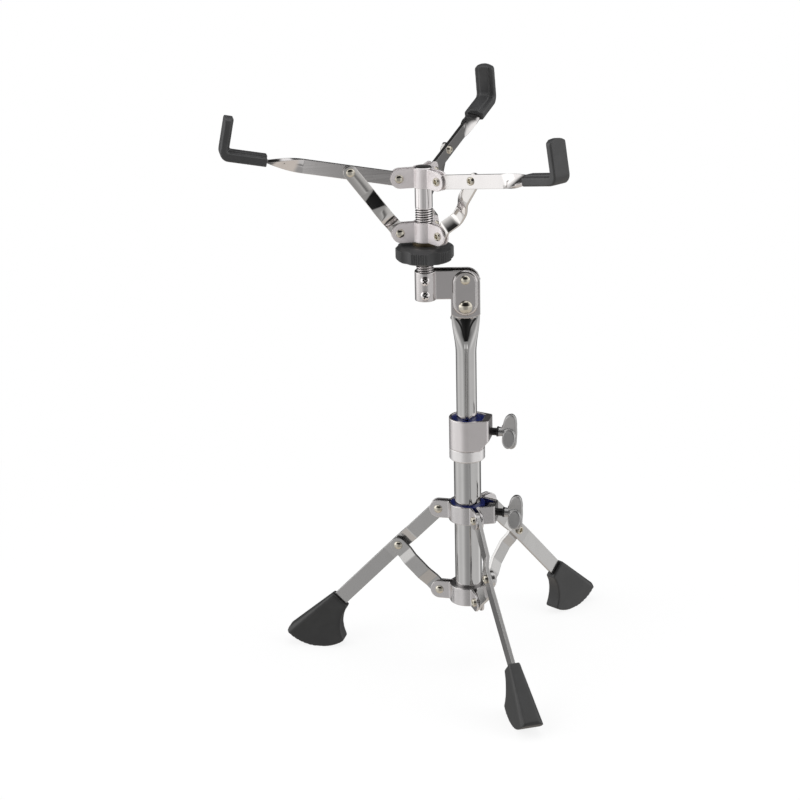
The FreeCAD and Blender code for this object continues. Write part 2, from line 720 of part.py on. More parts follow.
# Upper tube: round, then pressed flat and dented between two side ridges
def make_upper_tube():
    outer_r = upper_tube_d / 2
    round_wire = Part.Wire([Part.Circle(V(0, 0, flat_start_z), V(0, 0, 1), outer_r).toShape()])
    sections = [round_wire]
    for i in range(1, 7):
        share = i / 6
        ease = share * share * (3 - 2 * share)
        half_x = outer_r + (flat_width / 2 - outer_r) * ease
        half_y = outer_r + (flat_depth / 2 - outer_r) * ease
        z = flat_start_z + (flat_full_z - flat_start_z) * share
        sections.append(oval(z, half_x, half_y, 2 + 1.6 * ease))
    spread = Part.makeLoft(sections, True, False)
    flat = Part.Face(sections[-1]).extrude(V(0, 0, flat_top_z - flat_full_z))
    body = rod(outer_r, V(0, 0, upper_tube_bottom), V(0, 0, flat_start_z - upper_tube_bottom))
    half = flat_width / 2
    spot = V(half - flat_corner_r, -10, flat_top_z - flat_corner_r)
    corner = Part.makeBox(flat_corner_r, 20, flat_corner_r, spot)
    corner = corner.cut(rod(flat_corner_r, spot, V(0, 20, 0)))
    flat = flat.cut(corner).cut(corner.mirror(V(0, 0, 0), V(1, 0, 0)))
    body = body.fuse(spread).fuse(flat)
    floor_half = half - ridge_width
    web = web_thick / 2
    front = -outer_r - 0.6
    low = [V(-0.6, front, dent_start_z), V(0.6, front, dent_start_z)]
    floor_y = dent_start_cut - outer_r
    low += [V(0.6, floor_y, dent_start_z), V(-0.6, floor_y, dent_start_z)]
    high = [V(-floor_half - 0.9, front, dent_full_z), V(floor_half + 0.9, front, dent_full_z)]
    high += [V(floor_half, -web, dent_full_z), V(-floor_half, -web, dent_full_z)]
    low_wire = Part.makePolygon(low + [low[0]])
    high_wire = Part.makePolygon(high + [high[0]])
    dent = Part.makeLoft([low_wire, high_wire], True, True)
    dent = dent.fuse(Part.Face(high_wire).extrude(V(0, 0, flat_top_z + 2 - dent_full_z)))
    body = body.cut(dent).cut(dent.mirror(V(0, 0, 0), V(0, 1, 0)))
    bore_top = dent_start_z - upper_tube_bottom - 2
    body = body.cut(rod(outer_r - upper_tube_wall, V(0, 0, upper_tube_bottom), V(0, 0, bore_top)))
    return body.cut(rod(tilt_bolt_r + seat_gap, V(0, -20, tilt_z), V(0, 40, 0)))


def build_column():
    outer_r = lower_tube_d / 2
    inner_r = outer_r - lower_tube_wall
    save(tube(outer_r, inner_r, lower_tube_bottom, lower_tube_top), "lower_tube")
    save(make_upper_tube(), "upper_tube")
    spigot_r = upper_tube_d / 2 - upper_tube_wall - pin_fit
    lip_r = inner_r - pin_fit
    low = upper_tube_bottom - turn_gap - guide_lip
    guide = [V(0, 0, low), V(lip_r - 0.6, 0, low), V(lip_r, 0, low + 0.6), V(lip_r, 0, low + guide_lip)]
    guide += [V(spigot_r, 0, low + guide_lip), V(spigot_r, 0, low + guide_height)]
    guide.append(V(0, 0, low + guide_height))
    save(revolved(guide, V(0, 0, 0), V(0, 0, 1)), "post_guide")


# Tilter bracket: one sheet folded round the stem, two plates past the tube
def make_bracket():
    inner = plate_half_gap
    outer = inner + plate_sheet
    loop_in = stem_r + seat_gap
    loop_out = loop_in + plate_sheet
    low = tongue_tip_z - 5
    tall = V(0, 0, bracket_top_z + 5 - low)
    loop = rod(loop_out, V(stem_x, stem_y, low), tall)
    back = Part.makeBox(bracket_right - stem_x, plate_sheet, tall.z, V(stem_x, inner, low))
    front_x = stem_x + loop_in
    front = Part.makeBox(bracket_right - front_x, plate_sheet, tall.z, V(front_x, -outer, low))
    open_side = Part.makeBox(30, 2 * inner, tall.z, V(stem_x, -inner, low))
    folded = loop.cut(open_side).fuse(back).fuse(front)
    folded = folded.cut(rod(loop_in, V(stem_x, stem_y, low), tall))
    left = stem_x - loop_out - 5
    corner_x = bracket_right - bracket_corner_r
    corner_z = bracket_top_z - bracket_corner_r
    bow = bracket_corner_r * math.sqrt(0.5)
    spots = [V(left, 0, bracket_low_z), V(bracket_left, 0, bracket_low_z), V(bracket_left, 0, tongue_low_z)]
    edges = [line(spots[0], spots[1]), line(spots[1], spots[2])]
    right_low = V(bracket_right, 0, tongue_low_z)
    edges.append(arc(spots[2], V((bracket_left + bracket_right) / 2, 0, tongue_tip_z), right_low))
    edges.append(line(right_low, V(bracket_right, 0, corner_z)))
    crown = V(corner_x, 0, bracket_top_z)
    edges.append(arc(V(bracket_right, 0, corner_z), V(corner_x + bow, 0, corner_z + bow), crown))
    edges.append(line(crown, V(left, 0, bracket_top_z)))
    edges.append(line(V(left, 0, bracket_top_z), spots[0]))
    outline = plate(edges, V(0, 80, 0))
    outline.translate(V(0, -40, 0))
    body = folded.common(outline)
    pad_r = pad_width / 2
    mid_low = pad_low_z + pad_r
    mid_high = pad_top_z - pad_r
    for sign in (1, -1):
        face = sign * outer
        edges = [line(V(-pad_r, face, mid_low), V(-pad_r, face, mid_high))]
        edges.append(arc(V(-pad_r, face, mid_high), V(0, face, pad_top_z), V(pad_r, face, mid_high)))
        edges.append(line(V(pad_r, face, mid_high), V(pad_r, face, mid_low)))
        edges.append(arc(V(pad_r, face, mid_low), V(0, face, pad_low_z), V(-pad_r, face, mid_low)))
        pad = plate(edges, V(0, sign * pad_height, 0))
        crown = [e for e in pad.Edges if abs(e.CenterOfMass.y - face - sign * pad_height) < 0.01]
        body = body.fuse(pad.makeChamfer(pad_height * 0.8, crown))
    body = body.removeSplitter()
    body = body.cut(rod(tilt_bolt_r + pin_fit, V(0, -20, tilt_z), V(0, 40, 0)))
    body = body.cut(rod(spacer_rivet_r + seat_gap, V(0, -20, spacer_z), V(0, 40, 0)))
    for z in (screw_low_z, screw_high_z):
        body = body.cut(rod(screw_r + seat_gap, V(stem_x, stem_y, z), V(0, -30, 0)))
    return body


def build_tilter():
    save(make_bracket(), "tilter_bracket")
    face = plate_half_gap + plate_sheet + pad_height
    body = rivet(spacer_rivet_r, spacer_head_r, spacer_head_h, -face, face)
    spacer = rod(spacer_r, V(0, -plate_half_gap, 0), V(0, 2 * plate_half_gap, 0))
    body = body.fuse(spacer)
    body.translate(V(0, 0, spacer_z))
    save(body, "tilter_rivet")
    web = web_thick / 2
    thick = plate_half_gap - web - turn_gap
    washer = rod(washer_r, V(0, web, tilt_z), V(0, thick, 0))
    washer = washer.cut(rod(tilt_bolt_r + seat_gap, V(0, 0, tilt_z), V(0, 20, 0)))
    save(Part.makeCompound([washer, washer.mirror(V(0, 0, 0), V(0, 1, 0))]), "tilt_washers")
    seat = face + turn_gap
    nut_end = seat + nut_length
    bolt_end = nut_end + 2
    edges = [line(V(0, -seat - tilt_head_h, 0), V(0, bolt_end, 0))]
    edges.append(line(V(0, bolt_end, 0), V(tilt_bolt_r, bolt_end, 0)))
    edges.append(line(V(tilt_bolt_r, bolt_end, 0), V(tilt_bolt_r, -seat, 0)))
    edges.append(line(V(tilt_bolt_r, -seat, 0), V(tilt_head_r, -seat, 0)))
    edges.append(dome(tilt_head_r, -seat, -tilt_head_h))
    bolt = spun(edges)
    bolt.translate(V(0, 0, tilt_z))
    save(bolt, "tilt_bolt")
    nut = rod(nut_r, V(0, seat, 0), V(0, nut_length, 0))
    blade = wings(nut_span)
    blade.rotate(V(0, 0, 0), V(0, 0, 1), 90)
    blade.translate(V(0, seat + nut_length - 3, 0))
    nut = nut.fuse(blade).cut(rod(tilt_bolt_r + pin_fit, V(0, 0, 0), V(0, 60, 0)))
    nut.rotate(V(0, 0, 0), V(0, 1, 0), nut_lean)
    nut.translate(V(0, 0, tilt_z))
    save(nut, "tilt_wing_nut")


# Arm frame: X along the arm from its pivot, Y sideways, Z above it
def at_arm(shape, number, slope, pivot_z):
    result = shape.copy()
    result.rotate(V(0, 0, 0), V(0, 1, 0), -slope)
    result.translate(V(hub_pivot_r, 0, pivot_z))
    return turned(result, arm_azimuth + number * third, stem_x, stem_y)


# Flat bar on edge, twisted a quarter turn, then bent up inside the grip
def make_arm():
    half = arm_height / 2
    thin = arm_thick / 2
    body = Part.makeBox(arm_twist_start + half, arm_thick, arm_height, V(-half, -thin, -half))
    body = round_end(body, 0, arm_height, -1)
    wires = []
    steps = 6
    for i in range(steps + 1):
        x = arm_twist_start + (arm_twist_end - arm_twist_start) * i / steps
        corners = [V(x, -thin, -half), V(x, thin, -half), V(x, thin, half), V(x, -thin, half)]
        wire = Part.makePolygon(corners + [corners[0]])
        wire.rotate(V(x, 0, 0), V(1, 0, 0), -90.0 * i / steps)
        wires.append(wire)
    body = body.fuse(Part.makeLoft(wires, True, False))
    far = arm_up_t
    points = [V(arm_twist_end, -half, -thin), V(far + thin, -half, -thin), V(far + thin, -half, arm_up_top)]
    points += [V(far - thin, -half, arm_up_top), V(far - thin, -half, thin), V(arm_twist_end, -half, thin)]
    tip = prism(points, V(0, arm_height, 0))
    inside = [e for e in tip.Edges if (e.CenterOfMass - V(far - thin, 0, thin)).Length < 0.01]
    tip = tip.makeFillet(arm_tip_bend, inside)
    outside = [e for e in tip.Edges if (e.CenterOfMass - V(far + thin, 0, -thin)).Length < 0.01]
    tip = tip.makeFillet(arm_tip_bend + arm_thick, outside)
    body = body.fuse(tip)
    body.translate(V(0, 0, -arm_drop))
    body = pin_hole(body, 0, arm_rivet_r + pin_fit)
    return pin_hole(body, arm_rivet_t, arm_rivet_r + seat_gap)


# L-shaped rubber grip with a rib along its inner faces
def make_grip(arm):
    wide = grip_width
    points = [V(grip_start, -wide / 2, grip_low), V(grip_outer, -wide / 2, grip_low)]
    points += [V(grip_outer, -wide / 2, grip_top), V(grip_inner, -wide / 2, grip_top)]
    points += [V(grip_inner, -wide / 2, grip_seat), V(grip_start, -wide / 2, grip_seat)]
    body = prism(points, V(0, wide, 0))
    for x, z, radius in ((grip_outer, grip_low, grip_outer_r), (grip_inner, grip_seat, grip_inner_r)):
        edge = [e for e in body.Edges if (e.CenterOfMass - V(x, 0, z)).Length < 0.01]
        body = body.makeFillet(radius, edge)
    crown = rod(grip_crown_r, V(grip_start, 0, grip_top - grip_crown_r), V(80, 0, 0))
    above = Part.makeBox(80, 40, 40, V(grip_start, -20, grip_top - grip_crown_r / 2))
    body = body.cut(above.cut(crown))
    rims = [e for e in body.Edges if abs(abs(e.CenterOfMass.y) - wide / 2) < 0.01
            and e.CenterOfMass.x > grip_start + 1 and abs(e.tangentAt(e.FirstParameter).y) < 0.1]
    rims = [e for e in rims if e.CenterOfMass.z < grip_top - grip_crown_r / 2 + 4]
    body = body.makeChamfer(grip_edge, rims)
    half = grip_rib_width / 2
    level = grip_seat + grip_rib
    wall = grip_inner - grip_rib
    rib = [V(grip_start, -half, grip_seat - 1), V(grip_inner + 1, -half, grip_seat - 1)]
    rib += [V(grip_inner + 1, -half, grip_top - 0.6), V(wall + 0.8, -half, grip_top - 0.6)]
    rib += [V(wall, -half, grip_top - 2.0), V(wall, -half, level), V(grip_start, -half, level)]
    strip_body = prism(rib, V(0, 2 * half, 0))
    inside = [e for e in strip_body.Edges if (e.CenterOfMass - V(wall, 0, level)).Length < 0.01]
    strip_body = strip_body.makeFillet(grip_inner_r, inside)
    return body.fuse(strip_body).removeSplitter().cut(arm)


def make_link(length, offset):
    half = link_width / 2
    fall = link_bow_high + link_bow_flat
    path = [(-half, 0), (link_bow_start, 0), (link_bow_high, link_bow), (fall, link_bow)]
    path += [(fall + link_bow_fall, offset), (length + half, offset)]
    body = strip(path, link_thick, link_width)
    body = round_end(body, 0, link_width, -1)
    body = round_end(body, length, link_width, 1)
    body = pin_hole(body, 0, arm_rivet_r + link_slack)
    return pin_hole(body, length, arm_rivet_r + pin_fit)


def make_stem():
    high = upper_hub_z + upper_hub_height / 2 + 0.5
    profile = [V(0, 0, stem_bottom), V(stem_r - 1, 0, stem_bottom), V(stem_r, 0, stem_bottom + 1)]
    profile += [V(stem_r, 0, high - 1), V(stem_r - 1, 0, high), V(0, 0, high)]
    body = revolved(profile, V(0, 0, 0), V(0, 0, 1))
    for z in (screw_low_z, screw_high_z):
        body = body.cut(rod(screw_r + seat_gap, V(0, 0.5 + screw_depth - stem_r, z), V(0, -30, 0)))
    return turned(body, 0, stem_x, stem_y)


def make_stem_screws():
    seat = stem_r + seat_gap + plate_sheet - 0.4
    head = screw_head_h + 0.4
    tip = seat + head
    deep = stem_r - screw_depth
    edges = [line(V(0, -tip, 0), V(0, -deep, 0)), line(V(0, -deep, 0), V(screw_r, -deep, 0))]
    edges.append(line(V(screw_r, -deep, 0), V(screw_r, -seat, 0)))
    edges.append(line(V(screw_r, -seat, 0), V(screw_head_r, -seat, 0)))
    edges.append(dome(screw_head_r, -seat, -head))
    one = spun(edges)
    one = one.cut(rod(stem_r + seat_gap + plate_sheet, V(0, 0, -10), V(0, 0, 20)).cut(
        rod(screw_r, V(0, 0, 0), V(0, -30, 0))))
    screws = []
    for z in (screw_low_z, screw_high_z):
        body = turned(one, 0, stem_x, stem_y)
        body.translate(V(0, 0, z))
        screws.append(body)
    return Part.makeCompound(screws)


# Knob: ribbed lobes with shallow scallops between them, rising to a boss
def make_knob():
    pitch = 360.0 / knob_lobes
    edges = []
    points = []
    for lobe in range(knob_lobes):
        middle = knob_lobe_azimuth + lobe * pitch
        for i in range(2 * knob_ribs + 1):
            angle = math.radians(middle - knob_lobe_span / 2 + knob_lobe_span * i / (2 * knob_ribs))
            radius = knob_r - (knob_rib_depth if i % 2 == 0 else 0)
            points.append(V(radius * math.cos(angle), radius * math.sin(angle), knob_low_z))
    count = len(points)
    per_lobe = 2 * knob_ribs + 1
    for i in range(count):
        a = points[i]
        b = points[(i + 1) % count]
        if (i + 1) % per_lobe:
            edges.append(line(a, b))
            continue
        middle = V((a.x + b.x) / 2, (a.y + b.y) / 2, 0)
        middle.normalize()
        edges.append(arc(a, middle * (knob_r - knob_rib_depth - knob_scallop) + V(0, 0, knob_low_z), b))
    body = plate(edges, V(0, 0, knob_top_z - knob_low_z))
    edge_z = knob_top_z - knob_chamfer
    profile = [V(0, 0, knob_low_z), V(knob_r - 1.5, 0, knob_low_z), V(knob_r, 0, knob_low_z + 1.5)]
    boss_z = lower_hub_z - lower_hub_height / 2 - turn_gap
    profile += [V(knob_r, 0, edge_z), V(knob_shoulder_r, 0, knob_top_z), V(knob_boss_r, 0, boss_z)]
    profile.append(V(0, 0, boss_z))
    body = body.common(revolved(profile, V(0, 0, 0), V(0, 0, 1)))
    return body.cut(rod(insert_r + seat_gap, V(0, 0, insert_low_z), V(0, 0, 60))).cut(
        rod(stem_r + turn_gap, V(0, 0, 0), V(0, 0, 500)))


def build_basket():
    save(make_stem(), "basket_stem")
    save(make_stem_screws(), "stem_screws")
    hole = arm_rivet_r + seat_gap
    arm_slot = arm_thick + 2 * side_gap
    link_slot = link_thick + 2 * side_gap
    wrap_r = stem_r + pin_fit
    upper = hub_plate(wrap_r, hub_sheet, upper_hub_height, hub_pivot_r, hub_ear, arm_slot, hub_bend, hole)
    lower = hub_plate(wrap_r, hub_sheet, lower_hub_height, hub_pivot_r, hub_ear, link_slot, hub_bend, hole)
    for i in range(3):
        azimuth = arm_azimuth + third / 2 + i * third
        for body, z, node in ((upper, upper_hub_z, "upper"), (lower, lower_hub_z, "lower")):
            placed = turned(body, azimuth, stem_x, stem_y)
            placed.translate(V(0, 0, z))
            save(placed, "%s_hub_plate_%d" % (node, i + 1))
    head = (arm_rivet_r, arm_rivet_head_r, arm_rivet_head_h)
    where = (hub_sheet, hub_pivot_r, arm_azimuth, stem_x, stem_y)
    save(hub_rivets(*head, arm_slot, *where, upper_hub_z), "arm_pivot_rivets")
    save(hub_rivets(*head, link_slot, *where, lower_hub_z), "link_pivot_rivets")
    rise = math.radians(arm_rise)
    out = arm_rivet_t * math.cos(rise)
    high = upper_hub_z - lower_hub_z + arm_rivet_t * math.sin(rise)
    link_offset = (arm_thick + link_thick) / 2 + side_gap
    link_slope = math.degrees(math.atan2(high, out))
    arm = make_arm()
    grip = make_grip(arm)
    link = make_link(math.hypot(out, high), link_offset)
    joint = rivet(arm_rivet_r, arm_rivet_head_r, arm_rivet_head_h, -arm_thick / 2,
                  link_offset + link_thick / 2 + side_gap)
    joint.translate(V(arm_rivet_t, 0, 0))
    for number, name in enumerate(arm_names):
        save(at_arm(arm, number, arm_rise, upper_hub_z), "arm_" + name)
        save(at_arm(grip, number, arm_rise, upper_hub_z), "grip_" + name)
        save(at_arm(joint, number, arm_rise, upper_hub_z), "link_rivet_" + name)
        save(at_arm(link, number, link_slope, lower_hub_z), "link_" + name)
    save(turned(make_knob(), 0, stem_x, stem_y), "basket_knob")
    flange_top = lower_hub_z - lower_hub_height / 2 - turn_gap
    insert = tube(insert_r, stem_r + pin_fit, insert_low_z, flange_top)
    save(turned(insert, 0, stem_x, stem_y), "knob_insert")


os.makedirs("parts", exist_ok=True)
build_column()
build_height_collar()
build_leg_hubs()
build_legs()
build_tilter()
build_basket()
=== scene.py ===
import json
import math

import bmesh
import bpy
from mathutils import Matrix, Vector

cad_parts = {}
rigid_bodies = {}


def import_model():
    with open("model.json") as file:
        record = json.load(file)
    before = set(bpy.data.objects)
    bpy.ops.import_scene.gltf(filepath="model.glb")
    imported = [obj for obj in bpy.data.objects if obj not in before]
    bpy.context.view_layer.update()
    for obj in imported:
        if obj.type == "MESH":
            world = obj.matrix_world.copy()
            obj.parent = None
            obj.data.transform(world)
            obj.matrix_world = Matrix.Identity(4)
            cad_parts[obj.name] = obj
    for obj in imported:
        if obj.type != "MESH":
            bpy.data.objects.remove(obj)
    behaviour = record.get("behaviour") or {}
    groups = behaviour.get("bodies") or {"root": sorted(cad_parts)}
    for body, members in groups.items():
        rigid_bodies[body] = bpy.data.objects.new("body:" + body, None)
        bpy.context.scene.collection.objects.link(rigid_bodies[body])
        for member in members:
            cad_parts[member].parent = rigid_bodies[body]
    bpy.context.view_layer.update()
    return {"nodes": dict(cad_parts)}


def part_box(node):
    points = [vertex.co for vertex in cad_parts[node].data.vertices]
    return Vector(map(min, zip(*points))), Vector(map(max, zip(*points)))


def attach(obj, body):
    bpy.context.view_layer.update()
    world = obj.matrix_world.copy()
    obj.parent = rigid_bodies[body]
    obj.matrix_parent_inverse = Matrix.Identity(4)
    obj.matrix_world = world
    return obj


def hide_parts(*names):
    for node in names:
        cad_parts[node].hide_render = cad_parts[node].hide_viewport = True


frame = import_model()
nodes = frame["nodes"]
scene = bpy.context.scene
scene.view_settings.view_transform = "Standard"
print("frame loaded:", len(nodes), "nodes")

mm = 0.001
upward = Vector((0, 0, 1))
columnCentre = Vector((0, 0, 0))
basketCentre = Vector((-36.4 * mm, -4.0 * mm, 0))      # the threaded stem's axis
legTurns = {"left": 167.2, "front": 287.2, "right": 47.2}      # degrees round the column
armTurns = {"left": 190.3, "right": 310.3, "rear": 70.3}      # degrees round the stem

# camera at the photograph's place, a long lens about two metres away and a little above
cameraSet = {
    "place": (-0.01626, -2.05198, 1.01790),
    "right": (0.99968, 0.01454, -0.02071),
    "up": (0.01441, 0.34567, 0.93824),
    "forward": (-0.02080, 0.93824, -0.34535),
    "lens": 106.1,
    "sensor": 36.0,
    "clipEnd": 50.0,
}


def makeCamera(values):
    data = bpy.data.cameras.new("camera")
    data.lens = values["lens"]
    data.sensor_width = values["sensor"]
    data.clip_end = values["clipEnd"]
    right, up = Vector(values["right"]), Vector(values["up"])
    back = -Vector(values["forward"])
    turn = Matrix((right, up, back)).transposed().to_4x4()
    camera = bpy.data.objects.new("camera", data)
    camera.matrix_world = Matrix.Translation(values["place"]) @ turn
    scene.collection.objects.link(camera)
    scene.camera = camera


makeCamera(cameraSet)


# small helpers for node trees
def addNode(tree, kind, **settings):
    node = tree.nodes.new(kind)
    for name, value in settings.items():
        setattr(node, name, value)
    return node


def put(tree, socket, value):
    if isinstance(value, bpy.types.NodeSocket):
        tree.links.new(value, socket)
    else:
        socket.default_value = value


def mathNode(tree, operation, *values, clamp=False):
    node = addNode(tree, "ShaderNodeMath", operation=operation, use_clamp=clamp)
    for socket, value in zip(node.inputs, values):
        put(tree, socket, value)
    return node.outputs[0]


def vectorNode(tree, operation, *values):
    node = addNode(tree, "ShaderNodeVectorMath", operation=operation)
    for socket, value in zip(node.inputs, values):
        put(tree, socket, value)
    return node.outputs


def stepNode(tree, value, low, high):
    # 0 below low, 1 above high, with a smooth step between
    node = addNode(tree, "ShaderNodeMapRange", interpolation_type="SMOOTHSTEP")
    put(tree, node.inputs["Value"], value)
    put(tree, node.inputs["From Min"], low)
    put(tree, node.inputs["From Max"], high)
    return node.outputs["Result"]


def rangeNode(tree, value, low, high):
    # a value from 0 to 1 spread from low to high
    node = addNode(tree, "ShaderNodeMapRange")
    put(tree, node.inputs["Value"], value)
    put(tree, node.inputs["To Min"], low)
    put(tree, node.inputs["To Max"], high)
    return node.outputs["Result"]


def mixColour(tree, share, a, b):
    node = addNode(tree, "ShaderNodeMix", data_type="RGBA")
    put(tree, node.inputs[0], share)
    put(tree, node.inputs[6], a)      # inputs 6 and 7 and output 2 are the colour ones
    put(tree, node.inputs[7], b)
    return node.outputs[2]


def mixShader(tree, share, a, b):
    node = addNode(tree, "ShaderNodeMixShader")
    for socket, value in zip(node.inputs, (share, a, b)):
        put(tree, socket, value)
    return node.outputs[0]


def rampNode(tree, value, stops):
    node = addNode(tree, "ShaderNodeValToRGB")
    marks = node.color_ramp.elements
    for spot, (place, colour) in zip(marks, (stops[0], stops[-1])):      # a new ramp has its two ends
        spot.position = place
        spot.color = colour
    for place, colour in stops[1:-1]:
        marks.new(place).color = colour
    put(tree, node.inputs[0], value)
    return node.outputs[0]


# what the metal sees round it: grey by azimuth (0 is the camera's side, plus is right) on three belts,
# with one colour below them and one above
studioLight = {
    "low": {-180: 0.1, -150: 0.13, -132: 0.28, -116: 0.68, -95: 0.78, -76: 0.66, -60: 0.68, -46: 0.76,
            -34: 0.62, -24: 0.44, -10: 0.36, 8: 0.36, 14: 0.44, 16.5: 0.62, 17.5: 0.48, 18.4: 0.2,
            19.5: 0.13, 22: 0.18, 23.5: 0.34, 27: 0.6, 46: 0.66, 70: 0.64, 92: 0.64,
            112: 0.95, 126: 0.5, 136: 0.18, 150: 0.12, 180: 0.1},
    "level": {-180: 0.08, -145: 0.12, -122: 1.0, -75: 1.1, -55: 1.0, -38: 0.85, -20: 0.36, 20: 0.36,
              38: 0.85, 55: 1.0, 75: 1.05, 118: 1.0, 140: 0.12, 180: 0.08},
    "raised": {-180: 0.03, -140: 0.06, -120: 1.1, -75: 1.2, -55: 0.45, -38: 0.03, 0: 0.012, 38: 0.03,
               55: 0.45, 75: 1.15, 115: 1.05, 135: 0.06, 180: 0.03},
    "below": (0.66, 0.615, 0.57, 1),
    "top": (0.95, 0.95, 0.96, 1),
    "background": (1, 1, 1, 1),
    # where each takes over from the one under it, as the sine of the height
    "steps": {"low": (-0.8, -0.52), "level": (-0.24, -0.08), "raised": (0.08, 0.2), "top": (0.8, 0.93)},
}


def makeWorld(values):
    world = bpy.data.worlds.new("studio")
    scene.world = world
    world.use_nodes = True
    tree = world.node_tree
    tree.nodes.clear()
    apart = addNode(tree, "ShaderNodeSeparateXYZ")
    put(tree, apart.inputs[0], addNode(tree, "ShaderNodeTexCoord").outputs["Generated"])
    x, y, z = apart.outputs
    turn = mathNode(tree, "ARCTAN2", x, mathNode(tree, "MULTIPLY", y, -1.0))
    share = mathNode(tree, "ADD", mathNode(tree, "DIVIDE", turn, 2 * math.pi), 0.5)
    layers = {"top": values["top"]}
    for name in ("low", "level", "raised"):
        stops = [(azimuth / 360 + 0.5, (level, level, level, 1)) for azimuth, level in values[name].items()]
        layers[name] = rampNode(tree, share, stops)
    colour = values["below"]
    for name, (start, end) in values["steps"].items():
        colour = mixColour(tree, stepNode(tree, z, start, end), colour, layers[name])
    glow = addNode(tree, "ShaderNodeBackground")
    put(tree, glow.inputs["Color"], colour)
    plain = addNode(tree, "ShaderNodeBackground")
    put(tree, plain.inputs["Color"], values["background"])
    seen = addNode(tree, "ShaderNodeLightPath").outputs["Is Camera Ray"]
    out = addNode(tree, "ShaderNodeOutputWorld")
    put(tree, out.inputs["Surface"], mixShader(tree, seen, glow.outputs[0], plain.outputs[0]))


makeWorld(studioLight)

# pale floor that shows only its soft shadow
floorSet = {"half": 9.0, "drop": 0.2 * mm, "colour": (0.93, 0.93, 0.93, 1),
            "lift": 0.86,      # how far it is lifted to white near the middle
            "shadowTo": (0.3, 0.75)}      # metres from the middle over which the shadow fades out


def makeFloor(values):
    mesh = bpy.data.meshes.new("floor")
    h, z = values["half"], -values["drop"]
    mesh.from_pydata([(-h, -h, z), (h, -h, z), (h, h, z), (-h, h, z)], [], [(0, 1, 2, 3)])
    floor = bpy.data.objects.new("floor", mesh)
    scene.collection.objects.link(floor)
    material = bpy.data.materials.new("paleFloor")
    material.use_nodes = True
    tree = material.node_tree
    tree.nodes.clear()
    matt = addNode(tree, "ShaderNodeBsdfDiffuse")
    put(tree, matt.inputs["Color"], values["colour"])
    white = addNode(tree, "ShaderNodeEmission")
    spot = addNode(tree, "ShaderNodeNewGeometry").outputs["Position"]
    far = vectorNode(tree, "LENGTH", spot)["Value"]
    whiteness = rangeNode(tree, stepNode(tree, far, *values["shadowTo"]), values["lift"], 1.0)
    seen = addNode(tree, "ShaderNodeLightPath").outputs["Is Camera Ray"]
    share = mathNode(tree, "MULTIPLY", seen, whiteness)
    out = addNode(tree, "ShaderNodeOutputMaterial")
    put(tree, out.inputs["Surface"], mixShader(tree, share, matt.outputs[0], white.outputs[0]))
    mesh.materials.append(material)
    # the metal and the lamps see the studio through it
    floor.visible_diffuse = False
    floor.visible_glossy = False
    floor.visible_transmission = False
    floor.visible_shadow = False


makeFloor(floorSet)

# soft boxes: sizes in metres, and whether the metal shows them
lampSet = {
    "keyBox": dict(place=(-1.5, -1.3, 1.7), aim=(0, 0, 0.35), size=1.4, watts=20.0, mirrored=False),
    "sideBox": dict(place=(1.7, -0.5, 1.1), aim=(0, 0, 0.35), size=1.2, watts=12.0, mirrored=False),
    "topBox": dict(place=(0.1, 0.5, 2.2), aim=(0, 0, 0.2), size=1.5, watts=14.0, mirrored=False),
    # seen in the basket's right arm
    "nearBox": dict(place=(-1.0, -0.15, 0.6), aim=(0, -0.15, 0.6), size=1.1, watts=1.4, mirrored=True),
}


def makeLamps(rows):
    for name, row in rows.items():
        data = bpy.data.lights.new(name, "AREA")
        data.shape = "SQUARE"
        data.size = row["size"]
        data.energy = row["watts"]
        lamp = bpy.data.objects.new(name, data)
        lamp.location = row["place"]
        lamp.visible_glossy = row["mirrored"]      # in the metal the studio's belts stand for the others
        look = Vector(row["aim"]) - Vector(row["place"])
        lamp.rotation_euler = look.to_track_quat("-Z", "Y").to_euler()
        scene.collection.objects.link(lamp)


makeLamps(lampSet)
print("camera, studio and floor made")

# node groups shared by the finishes
number, arrow = "NodeSocketFloat", "NodeSocketVector"


def newGroup(name, inputs, outputs):
    group = bpy.data.node_groups.new(name, "ShaderNodeTree")
    for label, kind, value in inputs:
        socket = group.interface.new_socket(label, in_out="INPUT", socket_type=kind)
        socket.default_value = value
    for label, kind in outputs:
        group.interface.new_socket(label, in_out="OUTPUT", socket_type=kind)
    start = addNode(group, "NodeGroupInput").outputs
    end = addNode(group, "NodeGroupOutput").inputs
    return group, start, end


def useGroup(tree, group, **values):
    node = addNode(tree, "ShaderNodeGroup", node_tree=group)
    for name, value in values.items():
        put(tree, node.inputs[name], value)
    return node.outputs


# rounded edge normal, and a mask of the edges where a lighter colour is painted as a highlight
edgeSet = {"radius": 0.4 * mm, "spread": 4.0, "samples": 8}


def makeEdgeGroup(values):
    group, start, end = newGroup(
        "edgeRound", [("Radius", number, values["radius"]), ("Spread", number, values["spread"])],
        [("Edge", number), ("Normal", arrow)])
    bevel = addNode(group, "ShaderNodeBevel", samples=values["samples"])
    put(group, bevel.inputs["Radius"], start["Radius"])
    rounded = bevel.outputs["Normal"]
    flat = addNode(group, "ShaderNodeNewGeometry").outputs["Normal"]
    turn = mathNode(group, "SUBTRACT", 1.0, vectorNode(group, "DOT_PRODUCT", rounded, flat)["Value"])
    put(group, end["Edge"], mathNode(group, "MULTIPLY", turn, start["Spread"], clamp=True))
    put(group, end["Normal"], rounded)
    return group


# fine grain of a surface: a mask from 0 to 1 and a height for a bump
grainSet = {"scale": 900.0, "stretch": (1, 1, 1), "detail": 3.0, "mask": (0.3, 0.7)}


